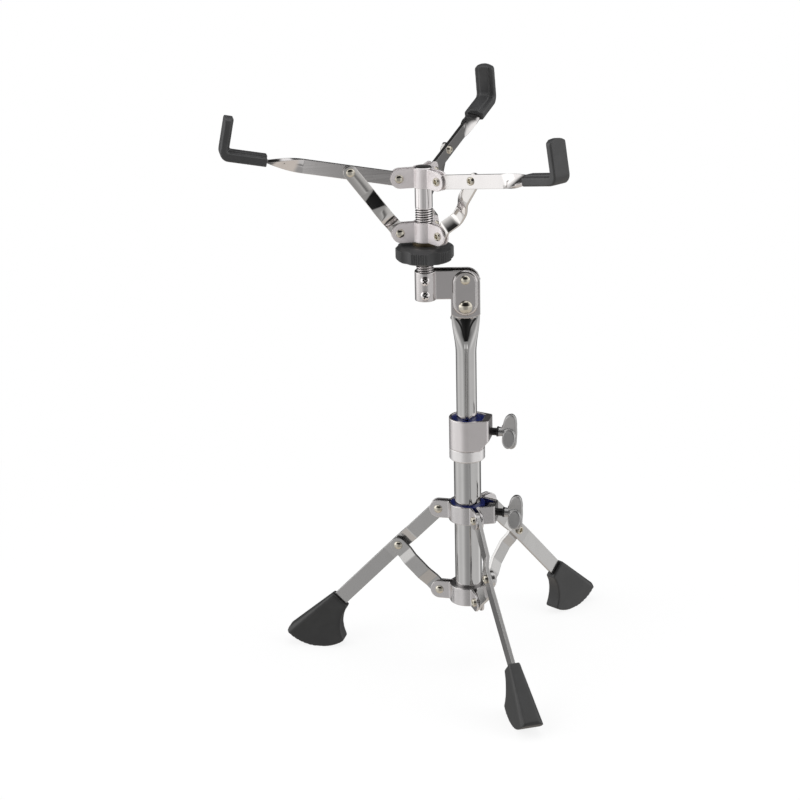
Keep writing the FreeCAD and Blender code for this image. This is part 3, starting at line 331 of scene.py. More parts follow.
def makeGrainGroup(values):
    group, start, end = newGroup(
        "fineGrain", [("Scale", number, values["scale"]), ("Stretch", arrow, values["stretch"]),
                      ("Detail", number, values["detail"])], [("Mask", number), ("Height", number)])
    place = addNode(group, "ShaderNodeTexCoord").outputs["Object"]
    noise = addNode(group, "ShaderNodeTexNoise")
    put(group, noise.inputs["Vector"], vectorNode(group, "MULTIPLY", place, start["Stretch"])["Vector"])
    put(group, noise.inputs["Scale"], start["Scale"])
    put(group, noise.inputs["Detail"], start["Detail"])
    put(group, end["Mask"], stepNode(group, noise.outputs[0], *values["mask"]))
    put(group, end["Height"], noise.outputs[0])
    return group


# broad soft marks of handling
marksSet = {"scale": 40.0, "cover": 0.5, "detail": 4.0, "distortion": 0.6, "mask": (0.38, 0.72)}


def makeMarksGroup(values):
    group, start, end = newGroup(
        "handling", [("Scale", number, values["scale"]), ("Cover", number, values["cover"])],
        [("Mask", number)])
    noise = addNode(group, "ShaderNodeTexNoise")
    put(group, noise.inputs["Vector"], addNode(group, "ShaderNodeTexCoord").outputs["Object"])
    put(group, noise.inputs["Scale"], start["Scale"])
    put(group, noise.inputs["Detail"], values["detail"])
    put(group, noise.inputs["Distortion"], values["distortion"])
    spread = stepNode(group, noise.outputs[0], *values["mask"])
    put(group, end["Mask"], mathNode(group, "MULTIPLY", spread, start["Cover"]))
    return group


edgeRound = makeEdgeGroup(edgeSet)
fineGrain = makeGrainGroup(grainSet)
handling = makeMarksGroup(marksSet)

# one row per metal: colour, the lighter colour painted at its edges as a highlight, roughness from and to,
# grain scale, bump, edge radius;
# stretch draws the grain out, metal is under 1 where the plating looks milky
metalSet = {
    "tubeChrome": dict(colour=(0.66, 0.65, 0.64), edge=(0.7, 0.69, 0.68), rough=(0.04, 0.07), scale=260,
                       bump=0.004, radius=0.3 * mm, stretch=(1, 1, 0.05)),
    "stemChrome": dict(colour=(0.9, 0.865, 0.86), edge=(0.9, 0.87, 0.865), rough=(0.05, 0.08), scale=260,
                       bump=0.004, radius=0.3 * mm, stretch=(1, 1, 0.05)),
    "strapChrome": dict(colour=(0.72, 0.7, 0.68), edge=(0.76, 0.74, 0.72), rough=(0.06, 0.1), scale=2200,
                        bump=0.004, radius=0.5 * mm),
    "legSatin": dict(colour=(0.6, 0.59, 0.58), edge=(0.64, 0.63, 0.62), rough=(0.13, 0.18), scale=2600,
                     bump=0.006, radius=0.6 * mm),
    "armPolish": dict(colour=(0.78, 0.755, 0.745), edge=(0.8, 0.78, 0.77), rough=(0.07, 0.13), scale=700,
                      bump=0.08, radius=0.6 * mm, stretch=(0.03, 0.03, 1)),
    "pressedPlate": dict(colour=(0.9, 0.85, 0.855), edge=(0.92, 0.89, 0.89), rough=(0.34, 0.42), scale=2600,
                         bump=0.006, radius=0.7 * mm, metal=0.6),
    "collarPlate": dict(colour=(0.74, 0.715, 0.715), edge=(0.82, 0.8, 0.8), rough=(0.22, 0.29), scale=2600,
                        bump=0.006, radius=0.9 * mm),
    "bracketPlate": dict(colour=(0.7, 0.67, 0.665), edge=(0.78, 0.76, 0.75), rough=(0.12, 0.17), scale=2600,
                         bump=0.005, radius=1.4 * mm),
    "castSatin": dict(colour=(0.88, 0.84, 0.84), edge=(0.9, 0.87, 0.87), rough=(0.28, 0.35), scale=2200,
                      bump=0.012, radius=1.0 * mm),
    "ringPlate": dict(colour=(0.95, 0.93, 0.925), edge=(0.95, 0.94, 0.93), rough=(0.3, 0.38), scale=2400,
                      bump=0.008, radius=0.8 * mm),
    "wingSteel": dict(colour=(0.56, 0.555, 0.55), edge=(0.66, 0.66, 0.66), rough=(0.32, 0.4), scale=2000,
                      bump=0.012, radius=0.3 * mm),
    "rivetNickel": dict(colour=(0.68, 0.64, 0.55), edge=(0.7, 0.66, 0.58), rough=(0.07, 0.11), scale=2500,
                        bump=0.004, radius=0.2 * mm),
    "coreSteel": dict(colour=(0.34, 0.33, 0.33), edge=(0.5, 0.49, 0.48), rough=(0.35, 0.5), scale=1800,
                      bump=0.02, radius=0.4 * mm),
    # black steel of the bolts' threads and wing hubs; the stem's thread roots and the screws' crosses also
    # get it as painted shade
    "blackThread": dict(colour=(0.05, 0.05, 0.052), edge=(0.16, 0.16, 0.16), rough=(0.3, 0.45), scale=2000,
                        bump=0.02, radius=0.2 * mm),
    "darkBrass": dict(colour=(0.14, 0.11, 0.07), edge=(0.3, 0.24, 0.14), rough=(0.35, 0.5), scale=1800,
                      bump=0.02, radius=0.3 * mm),
}

# plastics and rubber: the same values, with the lighter colour painted at their edges as a highlight
plasticSet = {
    "footRubber": dict(colour=(0.031, 0.031, 0.031), edge=(0.05, 0.05, 0.05), rough=(0.36, 0.46), scale=2200,
                       bump=0.03, radius=0.6 * mm),
    "gripRubber": dict(colour=(0.04, 0.04, 0.041), edge=(0.07, 0.07, 0.07), rough=(0.36, 0.46), scale=2200,
                       bump=0.03, radius=0.6 * mm),
    "knobPlastic": dict(colour=(0.036, 0.036, 0.037), edge=(0.09, 0.09, 0.09), rough=(0.28, 0.36),
                        scale=2400, bump=0.02, radius=0.5 * mm),
    "guidePlastic": dict(colour=(0.03, 0.03, 0.031), edge=(0.06, 0.06, 0.06), rough=(0.4, 0.52), scale=2000,
                         bump=0.03, radius=0.4 * mm, specular=0.45),
    "blueNylon": dict(colour=(0.008, 0.014, 0.095), edge=(0.02, 0.03, 0.17), rough=(0.3, 0.4), scale=2000,
                      bump=0.03, radius=0.4 * mm),
}

# what all metals share, and all plastics: handling dulls the one and pales the other
metalKind = {"metal": 1.0, "specular": 0.5, "spread": 5.0, "detail": 3.0, "bumpDeep": 0.2 * mm,
             "marks": 45.0, "cover": 0.5, "markTone": 0.93, "markRough": 0.04}
plasticKind = {"metal": 0.0, "specular": 0.5, "spread": 2.5, "detail": 4.0, "bumpDeep": 0.3 * mm,
               "marks": 55.0, "cover": 0.6, "markTone": 1.35, "markRough": 0.0}


def makeFinish(name, look, kind):
    material = bpy.data.materials.new(name)
    material.use_nodes = True
    tree = material.node_tree
    shader = tree.nodes["Principled BSDF"]
    edge = useGroup(tree, edgeRound, Radius=look["radius"], Spread=kind["spread"])
    grain = useGroup(tree, fineGrain, Scale=look["scale"], Detail=kind["detail"],
                     Stretch=look.get("stretch", grainSet["stretch"]))
    marks = useGroup(tree, handling, Scale=kind["marks"], Cover=kind["cover"])["Mask"]
    # painted highlight: a lighter colour along the edges
    base = mixColour(tree, edge["Edge"], (*look["colour"], 1), (*look["edge"], 1))
    marked = tuple(kind["markTone"] * part for part in look["colour"])
    put(tree, shader.inputs["Base Color"], mixColour(tree, marks, base, (*marked, 1)))
    rough = rangeNode(tree, grain["Mask"], *look["rough"])
    if kind["markRough"]:
        rough = mathNode(tree, "MULTIPLY_ADD", marks, kind["markRough"], rough)
    put(tree, shader.inputs["Roughness"], rough)
    bump = addNode(tree, "ShaderNodeBump")
    bump.inputs["Strength"].default_value = look["bump"]
    bump.inputs["Distance"].default_value = kind["bumpDeep"]
    put(tree, bump.inputs["Height"], grain["Height"])
    put(tree, bump.inputs["Normal"], edge["Normal"])
    put(tree, shader.inputs["Normal"], bump.outputs["Normal"])
    shader.inputs["Metallic"].default_value = look.get("metal", kind["metal"])
    shader.inputs["Specular IOR Level"].default_value = look.get("specular", kind["specular"])
    return material


finish = {name: makeFinish(name, look, metalKind) for name, look in metalSet.items()}
finish.update({name: makeFinish(name, look, plasticKind) for name, look in plasticSet.items()})

# which finish each node has, by the start of its name; the longest start that fits is used
finishOf = {
    "lower_tube": "tubeChrome", "upper_tube": "tubeChrome", "basket_stem": "stemChrome",
    "brace": "legSatin", "link": "strapChrome", "leg": "legSatin", "arm": "armPolish",
    "upper_hub_plate": "pressedPlate", "lower_hub_plate": "pressedPlate", "base_hub_plate": "collarPlate",
    "leg_collar_plate": "collarPlate", "leg_clamp_plate": "collarPlate", "tilter_bracket": "bracketPlate",
    "height_collar": "castSatin", "collar_ring": "ringPlate",
    "height_wing_bolt": "wingSteel", "leg_wing_bolt": "wingSteel", "tilt_wing_nut": "wingSteel",
    "leg_clamp_block": "wingSteel", "base_hub_core": "coreSteel",
    "base_hub_rivets": "rivetNickel", "leg_collar_rivets": "rivetNickel", "knee_rivet": "rivetNickel",
    "arm_pivot_rivets": "rivetNickel", "link_pivot_rivets": "rivetNickel", "link_rivet": "rivetNickel",
    "tilter_rivet": "rivetNickel", "tilt_bolt": "rivetNickel", "stem_screws": "rivetNickel",
    "height_bush": "blueNylon", "leg_collar_bush": "blueNylon",
    "post_guide": "guidePlastic", "tilt_washers": "guidePlastic",
    "basket_knob": "knobPlastic", "knob_insert": "darkBrass", "foot": "footRubber", "grip": "gripRubber",
}
for nodeName, piece in nodes.items():
    start = max((key for key in finishOf if nodeName.startswith(key)), key=len)
    piece.data.materials.clear()
    piece.data.materials.append(finish[finishOf[start]])
print("finishes made:", len(finish))


# what every new piece goes through: mesh, smooth faces with crisp edges, finish, then body and
# the nodes it stands for
def bodyOf(nodeName):
    return nodes[nodeName].parent.name.split(":", 1)[1]


def pointsOf(nodeName):
    return [vertex.co.copy() for vertex in nodes[nodeName].data.vertices]


def smoothFaces(mesh):
    mesh.polygons.foreach_set("use_smooth", [True] * len(mesh.polygons))


def makePiece(name, bm, material, crisp=40):
    bmesh.ops.recalc_face_normals(bm, faces=bm.faces)
    mesh = bpy.data.meshes.new(name)
    bm.to_mesh(mesh)
    bm.free()
    smoothFaces(mesh)
    mesh.set_sharp_from_angle(angle=math.radians(crisp))
    mesh.materials.append(finish[material])
    piece = bpy.data.objects.new(name, mesh)
    scene.collection.objects.link(piece)
    return piece


def settle(piece, body, slot, *standsFor):
    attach(piece, body)
    if standsFor:
        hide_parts(*standsFor)


def baked(piece):
    # the mesh as its modifiers leave it, with none of them kept
    mesh = bpy.data.meshes.new_from_object(piece.evaluated_get(bpy.context.evaluated_depsgraph_get()))
    piece.modifiers.clear()
    piece.data = mesh
    smoothFaces(mesh)
    return mesh


# rings of points and what joins them
def circle(count):
    return [(math.cos(2 * math.pi * k / count), math.sin(2 * math.pi * k / count)) for k in range(count)]


def addRing(bm, middle, across, above, count):
    return [bm.verts.new(middle + across * c + above * s) for c, s in circle(count)]


def joinRings(bm, rings, closeEnds=True):
    for lower, upper in zip(rings, rings[1:]):
        for k in range(len(lower)):
            n = (k + 1) % len(lower)
            bm.faces.new((lower[k], lower[n], upper[n], upper[k]))
    if closeEnds:
        bm.faces.new(reversed(rings[0]))
        bm.faces.new(rings[-1])


def domeProfile(head, rise, steps):
    # radius and depth under the top, from the first ring out to the brim
    turns = [math.pi / 2 * k / steps for k in range(1, steps + 1)]
    return [(head * math.sin(turn), rise * (1 - math.cos(turn))) for turn in turns]


def ease(share):
    share = min(1.0, max(0.0, share))
    return share * share * (3 - 2 * share)


def spanOf(values):
    values = list(values)
    return min(values), max(values)


def middleOf(values):
    return sum(spanOf(values)) / 2


def spoke(degrees):
    # outwards at that turn, and the way along a pin that lies across it
    turn = math.radians(degrees)
    return Vector((math.cos(turn), math.sin(turn), 0)), Vector((-math.sin(turn), math.cos(turn), 0))


def middleSpot(centre, radial, points):
    # half way between a pin's points, outwards from the centre and in height
    return centre + radial * middleOf(p.dot(radial) for p in points) + upward * middleOf(p.z for p in points)


# turned pieces with a thread: rings of points whose radius follows a helix
def threadedRod(bm, low, high, look, threadTop=math.inf):
    pitch, crest, inner, around = look["pitch"], look["crest"], look["inner"], look["around"]
    count = max(2, round((high - low) / pitch * look["perPitch"]))
    rings = []
    for i in range(count + 1):
        z = low + (high - low) * i / count
        fade = min(1.0, max(0.0, (threadTop - z) / pitch))
        chamfer = max(0.0, look["chamfer"] - min(z - low, high - z))
        ring = []
        for k, (c, s) in enumerate(circle(around)):
            wave = math.cos(2 * math.pi * (z / pitch - k / around))      # 1 on the crest, -1 in the root
            radius = crest - (crest - look["root"]) * (0.5 - 0.5 * wave) * fade - chamfer
            ring.append(bm.verts.new((radius * c, radius * s, z)))
        rings.append(ring)
    if inner:
        across, above = Vector((inner, 0, 0)), Vector((0, inner, 0))
        rings += [addRing(bm, upward * z, across, above, around) for z in (high, low)]
        rings.append(rings[0])
    joinRings(bm, rings, closeEnds=not inner)


# the basket's stem: threaded below the upper hub, plain above
stemSet = {"crest": 8.0 * mm, "root": 6.9 * mm, "pitch": 2.2 * mm, "chamfer": 0.8 * mm, "inner": 0.0,
           "around": 48, "perPitch": 10, "threadTop": 449.3 * mm,
           "paintedShadeShare": 0.3,      # how much of the thread's depth gets painted shade
           "plainEnd": 1.0 * mm}      # what stays bright at the lower end


def makeStem(values):
    low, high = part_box("basket_stem")
    bm = bmesh.new()
    threadedRod(bm, low.z, high.z, values, values["threadTop"])
    stem = makePiece("stem_thread", bm, "stemChrome", crisp=60)
    # painted shade: faces deep in the thread's roots get the black finish, standing in for the shade there
    stem.data.materials.append(finish["blackThread"])
    paintedShadeRadius = values["root"] + values["paintedShadeShare"] * (values["crest"] - values["root"])
    for face in stem.data.polygons:
        inThread = low.z + values["plainEnd"] < face.center.z < values["threadTop"]
        face.material_index = int(inThread and face.center.xy.length < paintedShadeRadius)
    stem.location = basketCentre
    settle(stem, "tilter", "bright_chrome", "basket_stem")


makeStem(stemSet)

# castings and mouldings: copies of a node with the corners rounded off as the mould leaves them
castSet = {"voxel": 0.3 * mm, "rounds": 7, "weld": 0.02 * mm}
mouldSet = {"voxel": 0.5 * mm, "rounds": 6, "weld": 0.02 * mm,
            "more": 22, "factor": 0.5,      # further rounds on a foot, apart from its sole
            "soleAim": (0.5, -0.866), "keepSole": 0.55}      # the sole faces outwards and down


def softenFoot(mesh, sole, values):
    bm = bmesh.new()
    bm.from_mesh(mesh)
    bm.normal_update()
    loose = [v for v in bm.verts if v.normal.dot(sole) < values["keepSole"]]
    for _ in range(values["more"]):
        bmesh.ops.smooth_vert(bm, verts=loose, factor=values["factor"],
                              use_axis_x=True, use_axis_y=True, use_axis_z=True)
    bm.to_mesh(mesh)
    bm.free()


def softCopy(nodeName, name, values, material, extra=None, sole=None):
    bm = bmesh.new()
    bm.from_mesh(nodes[nodeName].data)
    bmesh.ops.remove_doubles(bm, verts=bm.verts, dist=values["weld"])
    if extra:
        extra(bm)
    piece = makePiece(name, bm, material)
    remesh = piece.modifiers.new("voxels", "REMESH")
    remesh.mode = "VOXEL"
    remesh.voxel_size = values["voxel"]
    soften = piece.modifiers.new("soften", "SMOOTH")
    soften.iterations = values["rounds"]
    mesh = baked(piece)
    if sole:
        softenFoot(mesh, sole, values)
    mesh.materials.clear()
    mesh.materials.append(finish[material])
    return piece


# a wing: its hub runs on across it as a rounded ridge between two oval tongues
ridgeSet = {"start": 10.5 * mm, "short": 0.6 * mm, "radius": 6.5 * mm, "flat": 0.6, "rise": 1.5 * mm,
            "fullAt": 0.45, "closeAt": 1.04, "backSpan": 0.7,      # shares of its length
            "steps": 16, "around": 32}
lobeSet = {"start": 11.6 * mm, "short": 0.8 * mm, "deep": 0.93, "lap": 3.8 * mm, "around": 32,
           # size and height of the rings from the hub's middle out to the face
           "rings": ((1.0, 0.0), (1.0, 3.7 * mm), (0.95, 4.6 * mm), (0.86, 4.9 * mm))}


def wingRidge(bm, place, out, far, values):
    side = out.cross(upward)
    start, end = values["start"], far - values["short"]
    place = place + upward * values["rise"]
    rings = []
    for k in range(values["steps"] + 1):
        share = k / values["steps"]
        away = share - values["fullAt"]
        span = values["closeAt"] - values["fullAt"] if away > 0 else values["backSpan"]
        radius = values["radius"] * math.sqrt(max(0.0, 1 - (away / span) ** 2))
        middle = place + out * (start + (end - start) * share)
        wide, tall = side * (values["flat"] * radius), upward * radius
        rings.append(addRing(bm, middle, wide, tall, values["around"]))
    joinRings(bm, rings)


def wingLobe(bm, place, out, far, deep, hand, values):
    # the lower tongue (hand 1) lies in front of the hub, the upper one (hand -1) behind it
    front, down = out.cross(upward) * hand, upward * -hand
    near, lap = values["start"], values["lap"]
    far, deep = far - values["short"], deep * values["deep"]
    middle = place + out * ((near + far) / 2) + down * ((deep - lap) / 2)
    wide, tall = out * ((far - near) / 2), down * ((deep + lap) / 2)
    rings = []
    for size, height in values["rings"]:
        rings.append(addRing(bm, middle + front * height, wide * size, tall * size, values["around"]))
    joinRings(bm, rings)


# wing bolts: the node each stands for, its azimuth and height, and how far out its boss ends
wingBolts = {
    "height": dict(node="height_wing_bolt", azimuth=-12.0, z=232.1 * mm, reach=22.6 * mm),
    "leg": dict(node="leg_wing_bolt", azimuth=-12.8, z=151.5 * mm, reach=27.8 * mm),
}
boltSet = {"crest": 3.75 * mm, "root": 3.2 * mm, "pitch": 1.25 * mm, "chamfer": 0.0, "inner": 2.9 * mm,
           "around": 32, "perPitch": 10, "start": 0.3 * mm, "length": 5.7 * mm,
           "black": 8.0 * mm,      # the black part reaches to the back of the hub
           "tilt": math.radians(-12),      # of the whole wing about its bolt
           "lean": 0.04, "shorter": 0.12}      # how far the lower half leans in, and how much shorter it is


def boltThread(name, row, place, out, values):
    bm = bmesh.new()
    threadedRod(bm, values["start"], values["start"] + values["length"], values)
    thread = makePiece(name + "_thread", bm, "blackThread", crisp=60)
    turn = upward.rotation_difference(out)
    thread.matrix_world = Matrix.Translation(place) @ turn.to_matrix().to_4x4()
    settle(thread, bodyOf(row["node"]), "satin_steel")


def boltWing(name, row, place, out, values):
    points = pointsOf(row["node"])
    far = max((p - place).dot(out) for p in points)
    deep = max(place.z - p.z for p in points)

    def wingBody(bm):
        wingRidge(bm, place, out, far, ridgeSet)
        for hand in (1, -1):
            wingLobe(bm, place, out, far, deep, hand, lobeSet)

    wing = softCopy(row["node"], name + "_wing", castSet, "wingSteel", extra=wingBody)
    tilt = Matrix.Rotation(values["tilt"], 3, out)
    for vertex in wing.data.vertices:
        below = max(0.0, place.z - vertex.co.z)
        vertex.co = place + tilt @ (vertex.co - place)
        vertex.co += upward * (values["shorter"] * below) - out * (values["lean"] * below)
    wing.data.materials.append(finish["blackThread"])
    edge = row["reach"] + values["black"]
    for face in wing.data.polygons:
        face.material_index = int(face.center.dot(out) < edge)
    settle(wing, bodyOf(row["node"]), "satin_steel", row["node"])


for name, row in wingBolts.items():
    out = spoke(row["azimuth"])[0]
    place = out * row["reach"] + upward * row["z"]
    boltThread(name, row, place, out, boltSet)
    boltWing(name, row, place, out, boltSet)
tiltWing = softCopy("tilt_wing_nut", "tilt_wing", castSet, "wingSteel")
settle(tiltWing, bodyOf("tilt_wing_nut"), "satin_steel", "tilt_wing_nut")

for side, degrees in legTurns.items():
    node = "foot_" + side
    outward, down = mouldSet["soleAim"]
    sole = spoke(degrees)[0] * outward + upward * down
    foot = softCopy(node, node + "_moulded", mouldSet, "footRubber", sole=sole)
    settle(foot, bodyOf(node), "rubber", node)
for side in armTurns:
    node = "grip_" + side
    settle(softCopy(node, node + "_moulded", mouldSet, "gripRubber"), bodyOf(node), "rubber", node)
print("threads, castings and mouldings made")

# upper tube: round, then pressed flat with a tapering hollow on each side
tubeSet = {"radius": 9.525 * mm, "start": 308.0 * mm, "full": 345.0 * mm, "top": 366.0 * mm,
           "corner": 5.0 * mm, "halfWide": 13.1 * mm, "halfDeep": 3.2 * mm, "web": 0.9 * mm,
           "square": 1.6,      # how square the flat part's section is
           "hollow": (321.0 * mm, 342.5 * mm),      # its lower end, and where it is full
           "hollowHalf": (1.6 * mm, 2.6 * mm, 7.4 * mm),      # half its width: end, even and late growth
           "hollowFlat": 0.3, "around": 128, "step": 0.6 * mm, "plainSteps": 6}


def pressedDepth(values, z):
    flat = ease((z - values["start"]) / (values["full"] - values["start"]))
    return flat, values["radius"] + (values["halfDeep"] - values["radius"]) * flat


def tubeRing(values, z):
    flat, deep = pressedDepth(values, z)
    wide = values["radius"] + (values["halfWide"] - values["radius"]) * flat
    below = values["top"] - values["corner"]
    if z > below:
        wide -= values["corner"] - math.sqrt(max(0.0, values["corner"] ** 2 - (z - below) ** 2))
    power = 2 / (2 + values["square"] * flat)
    low, high = values["hollow"]
    share = min(1.0, max(0.0, (z - low) / (high - low)))
    end, even, late = values["hollowHalf"]
    half = end + even * share + late * share ** 3
    rim = pressedDepth(values, low)[1]
    cut = max(0.0, deep - rim - (values["web"] - rim) * share)      # the floor of the hollow runs straight
    ring = []
    for c, s in circle(values["around"]):
        x = math.copysign(abs(c) ** power, c) * wide
        y = math.copysign(abs(s) ** power, s) * deep
        sunk = cut * (1 - ease((abs(x) / half - values["hollowFlat"]) / (1 - values["hollowFlat"])))
        ring.append((x, math.copysign(max(abs(y) - sunk, min(abs(y), values["web"])), y), z))
    return ring


def makeTube(values):
    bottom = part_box("upper_tube")[0].z
    start, top, plain = values["start"], values["top"], values["plainSteps"]
    heights = [bottom + (start - bottom) * i / plain for i in range(plain)]
    count = round((top - start) / values["step"])
    heights += [start + (top - start) * i / count for i in range(count + 1)]
    bm = bmesh.new()
    joinRings(bm, [[bm.verts.new(spot) for spot in tubeRing(values, z)] for z in heights])
    tube = makePiece("tube_pressed", bm, "tubeChrome", crisp=50)
    settle(tube, bodyOf("upper_tube"), "bright_chrome", "upper_tube")


makeTube(tubeSet)

# rivets: domed on one side, rolled over a hollow end on the other
rivetSet = {
    "leg": dict(head=4.1 * mm, rise=2.3 * mm, shank=2.5 * mm, centre=columnCentre, turns=legTurns,
                shared=("base_hub_rivets", "leg_collar_rivets"), single="knee_rivet_"),
    "arm": dict(head=4.0 * mm, rise=2.0 * mm, shank=2.0 * mm, centre=basketCentre, turns=armTurns,
                shared=("arm_pivot_rivets", "link_pivot_rivets"), single="link_rivet_"),
}
rivetForm = {
    "around": 40, "domeSteps": 10, "own": 15.0 * mm,      # points this near its spoke belong to one rivet
    # radius and depth of the rolled end, in heads and rises
    "rim": ((0.96, 1.0), (0.96, 0.6), (0.92, 0.35), (0.84, 0.14), (0.72, 0.02), (0.62, 0.03), (0.53, 0.2),
            (0.48, 0.5), (0.45, 1.2), (0.25, 1.3)),
}


def addRivet(bm, look, spot, axis, low, high):
    head, rise, shank = look["head"], look["rise"], look["shank"]
    profile = [(radius, high - depth) for radius, depth in domeProfile(head, rise, rivetForm["domeSteps"])]
    profile += [(shank, high - rise), (shank, low + rise)]
    profile += [(head * radius, low + rise * depth) for radius, depth in rivetForm["rim"]]
    side = axis.cross(upward)
    rings = []
    for radius, along in profile:
        rings.append(addRing(bm, spot + axis * along, side * radius, upward * radius, rivetForm["around"]))
    joinRings(bm, rings)


def makeRivets(look, nodeName, turns):
    bm = bmesh.new()
    points = [p - look["centre"] for p in pointsOf(nodeName)]
    for degrees in turns:
        radial, axis = spoke(degrees)
        own = [p for p in points if p.dot(radial) > 0 and abs(p.dot(axis)) < rivetForm["own"]]
        spot = middleSpot(look["centre"], radial, own)
        addRivet(bm, look, spot, axis, *spanOf(p.dot(axis) for p in own))
    rivets = makePiece(nodeName + "_headed", bm, "rivetNickel", crisp=50)
    settle(rivets, bodyOf(nodeName), "nickel", nodeName)


for look in rivetSet.values():
    for nodeName in look["shared"]:
        makeRivets(look, nodeName, look["turns"].values())
    for side, degrees in look["turns"].items():
        makeRivets(look, look["single"] + side, [degrees])

# sloping rim pressed round the tilter's oblong pad
padSet = {"half": 9.75 * mm, "low": 347.6 * mm, "top": 386.6 * mm, "face": -5.5 * mm, "rise": 0.8 * mm,
          "slope": 2.9 * mm, "inset": 0.7 * mm, "proud": 0.02 * mm, "sunk": 0.05 * mm,
          "around": 64, "steps": 8}


def padRing(bm, values, y, grow):
    reach = values["half"] + grow
    ring = []
    for c, s in circle(values["around"]):
        z = values["top"] - values["half"] if s >= 0 else values["low"] + values["half"]
        ring.append(bm.verts.new((reach * c, y, z + reach * s)))
    return ring


def makePadRim(values):
    bm = bmesh.new()
    face, slope, inset = values["face"], values["slope"], values["inset"]
    rings = []
    for i in range(values["steps"] + 1):
        share = i / values["steps"]
        y = face - values["rise"] * (1 - share) - values["proud"]
        rings.append(padRing(bm, values, y, slope * share - inset))
    for grow in (slope - inset, -inset):
        rings.append(padRing(bm, values, face + values["sunk"], grow))
    joinRings(bm, rings + [rings[0]], closeEnds=False)
    settle(makePiece("pad_rim", bm, "bracketPlate", crisp=60), "tilter", "satin_chrome")


makePadRim(padSet)

# stem screws: low domes with a cross cut in each head
screwSet = {"head": 4.4 * mm, "rise": 2.6 * mm, "brim": 0.4 * mm, "shank": 2.0 * mm, "tip": 0.02,
            "around": 40, "domeSteps": 10, "crisp": 35,
            "bar": 1.2 * mm, "reach": 2.8 * mm, "depth": 2.0 * mm, "clear": 1.0 * mm,      # the cross
            "turns": (28, 52),      # degrees, lower and upper
            "upright": 0.02, "near": 0.01 * mm, "belowBrim": 0.1 * mm}      # what tells the cross's faces


def addBox(bm, low, high):
    corners = [bm.verts.new((x, y, z)) for x in (low[0], high[0]) for y in (low[1], high[1])
               for z in (low[2], high[2])]
    for face in ((0, 1, 3, 2), (4, 6, 7, 5), (0, 4, 5, 1), (2, 3, 7, 6), (0, 2, 6, 4), (1, 5, 7, 3)):
        bm.faces.new([corners[i] for i in face])
    return corners


def addScrew(bm, x, z, front, back, values):
    brim = front + values["rise"] + values["brim"]
    profile = [(values["tip"] * values["head"], front)]
    dome = domeProfile(values["head"], values["rise"], values["domeSteps"])
    profile += [(radius, front + depth) for radius, depth in dome]
    profile += [(values["head"], brim), (values["shank"], brim), (values["shank"], back)]
    rings = []
    for radius, y in profile:
        across, above = Vector((radius, 0, 0)), upward * radius
        rings.append(addRing(bm, Vector((x, y, z)), across, above, values["around"]))
    joinRings(bm, rings)


def addCross(bm, x, z, front, degrees, values):
    thin, long = values["bar"] / 2, values["reach"]
    turned = Matrix.Rotation(math.radians(degrees), 3, "Y")
    for wide, tall in ((thin, long), (long, thin)):
        bar = addBox(bm, (x - wide, front - values["clear"], z - tall),
                     (x + wide, front + values["depth"], z + tall))
        bmesh.ops.rotate(bm, cent=(x, 0, z), matrix=turned, verts=bar)


def cutAway(piece, bm):
    # takes the volume of a second mesh out of a piece
    bmesh.ops.recalc_face_normals(bm, faces=bm.faces)
    cutMesh = bpy.data.meshes.new("cutter")
    bm.to_mesh(cutMesh)
    bm.free()
    cutter = bpy.data.objects.new("cutter", cutMesh)
    scene.collection.objects.link(cutter)
    cut = piece.modifiers.new("cut", "BOOLEAN")
    cut.solver = "EXACT"
    cut.use_self = True
    cut.object = cutter
    mesh = baked(piece)
    bpy.data.objects.remove(cutter)
    return mesh


def makeScrews(values):
    points = pointsOf("stem_screws")
    middle = middleOf(p.z for p in points)
    front, back = spanOf(p.y for p in points)
    bm = bmesh.new()
    cross = bmesh.new()
    for upper, degrees in zip((False, True), values["turns"]):
        own = [p for p in points if (p.z > middle) == upper]
        x, z = middleOf(p.x for p in own), middleOf(p.z for p in own)
        addScrew(bm, x, z, front, back, values)
        addCross(cross, x, z, front, degrees, values)
    screws = makePiece("stem_screws_cross", bm, "stemChrome")
    mesh = cutAway(screws, cross)
    mesh.set_sharp_from_angle(angle=math.radians(values["crisp"]))
    # painted shade: the cross's walls and floor get the black finish
    mesh.materials.append(finish["blackThread"])
    wallEnd, floorAt = front + values["rise"] - values["belowBrim"], front + values["depth"]
    for face in mesh.polygons:
        # the cross's walls stand straight and its floor lies at the cut's depth
        wall = abs(face.normal.y) < values["upright"] and face.center.y < wallEnd
        floor = abs(face.center.y - floorAt) < values["near"] and face.normal.y < values["upright"] - 1
        face.material_index = int(wall or floor)
    settle(screws, bodyOf("stem_screws"), "nickel", "stem_screws")


makeScrews(screwSet)
print("tube, rivets, rim and screws made")

# bowed links: flat straps with easy bends, round at both ends
linkSet = {"width": 13.0 * mm, "thick": 2.6 * mm, "edge": 0.45 * mm,
           "pivotR": 22.4 * mm, "pivotZ": 426.2 * mm,      # its lower rivet
           "bow": 9.6 * mm, "bowStart": 11.0 * mm, "bowHigh": 20.1 * mm, "bowFlat": 12.9 * mm,
           "bowFall": 13.5 * mm,
           "bends": (1.0 * mm, 4.2 * mm, 4.2 * mm, 4.2 * mm),      # the first stays clear of the hub's ear
           "bendSteps": 8, "capSteps": 10, "tip": 0.03 * mm, "endZone": 2.0 * mm, "cornerPoints": 4}


def roundPath(points, bends, steps, most=0.49):
    # a path through the points with its corners rounded, none over more than this share of a run
    points = [Vector(point) for point in points]
    path = [points[0]]
    for before, here, after, bend in zip(points, points[1:], points[2:], bends):
        trim = min(bend, (before - here).length * most, (after - here).length * most)
        first = here + (before - here).normalized() * trim
        last = here + (after - here).normalized() * trim
        for k in range(steps + 1):
            t = k / steps
            path.append(first * (1 - t) ** 2 + here * 2 * t * (1 - t) + last * t ** 2)
    return path + [points[-1]]


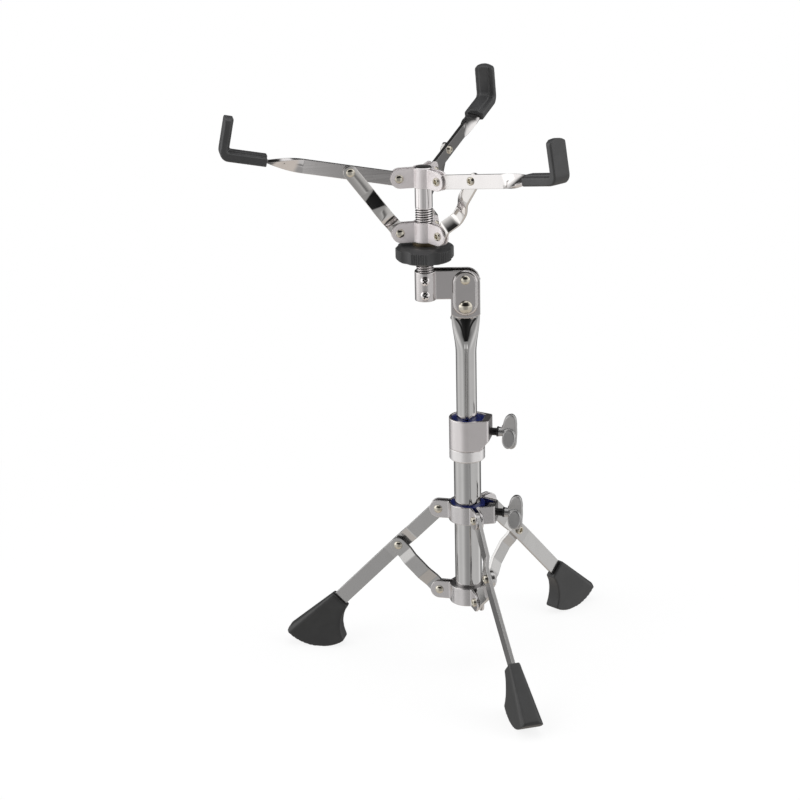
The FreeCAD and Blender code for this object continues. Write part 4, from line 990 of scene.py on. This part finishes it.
def linkPath(values, length, offset):
    # the strap's middle line, along it and sideways, with more points in its round ends
    half, steps = values["width"] / 2, values["capSteps"]
    fall = values["bowHigh"] + values["bowFlat"]
    corners = [(-half, 0), (values["bowStart"], 0), (values["bowHigh"], values["bow"]),
               (fall, values["bow"]), (fall + values["bowFall"], offset), (length + half, offset)]
    path = roundPath(corners, values["bends"], values["bendSteps"])[1:-1]
    for cap in [values["tip"]] + [half * (1 - math.cos(math.pi / 2 * k / steps)) for k in range(1, steps)]:
        path += [Vector((cap - half, 0)), Vector((length + half - cap, offset))]
    return sorted(path, key=lambda spot: spot.x)


def strapSection(half, thin, edge, count):
    # a flat bar's section, each corner rounded with a few points
    points = []
    for sx, sz, start in ((1, 1, 0), (-1, 1, 90), (-1, -1, 180), (1, -1, 270)):
        for k in range(count):
            turn = math.radians(start + 90 / (count - 1) * k)
            x = sx * (thin - edge) + edge * math.cos(turn)
            points.append((x, sz * max(half - edge, 0) + edge * math.sin(turn)))
    return points


def makeLink(values, side, degrees):
    name = "link_" + side
    radial, axis = spoke(degrees)
    start = basketCentre + radial * values["pivotR"] + upward * values["pivotZ"]
    rivet = [p - basketCentre for p in pointsOf("link_rivet_" + side)]
    end = middleSpot(basketCentre, radial, rivet)
    along = (end - start).normalized()
    length = (end - start).length
    across = axis.cross(along)
    points = [p - start for p in pointsOf(name)]
    low, high = spanOf(p.dot(axis) for p in points)
    hand = 1 if high > -low else -1      # the side that the strap bows to
    tail = [p.dot(axis) * hand for p in points if p.dot(along) > length - values["endZone"]]
    path = linkPath(values, length, middleOf(tail))
    half = values["width"] / 2
    bm = bmesh.new()
    rings = []
    for i, spot in enumerate(path):
        heading = (path[min(i + 1, len(path) - 1)] - path[max(i - 1, 0)]).normalized()
        beyond = max(-spot.x, spot.x - length, 0.0)
        reach = math.sqrt(max(half * half - beyond * beyond, 0.0))
        edge = min(values["edge"], reach)
        section = strapSection(reach, values["thick"] / 2, edge, values["cornerPoints"])
        face = along * -heading.y + axis * (hand * heading.x)
        middle = start + along * spot.x + axis * (hand * spot.y)
        rings.append([bm.verts.new(middle + face * a + across * b) for a, b in section])
    joinRings(bm, rings)
    strap = makePiece(name + "_strap", bm, "strapChrome", crisp=50)
    settle(strap, bodyOf(name), "bright_chrome", name)


for side, degrees in armTurns.items():
    makeLink(linkSet, side, degrees)
print("links made")
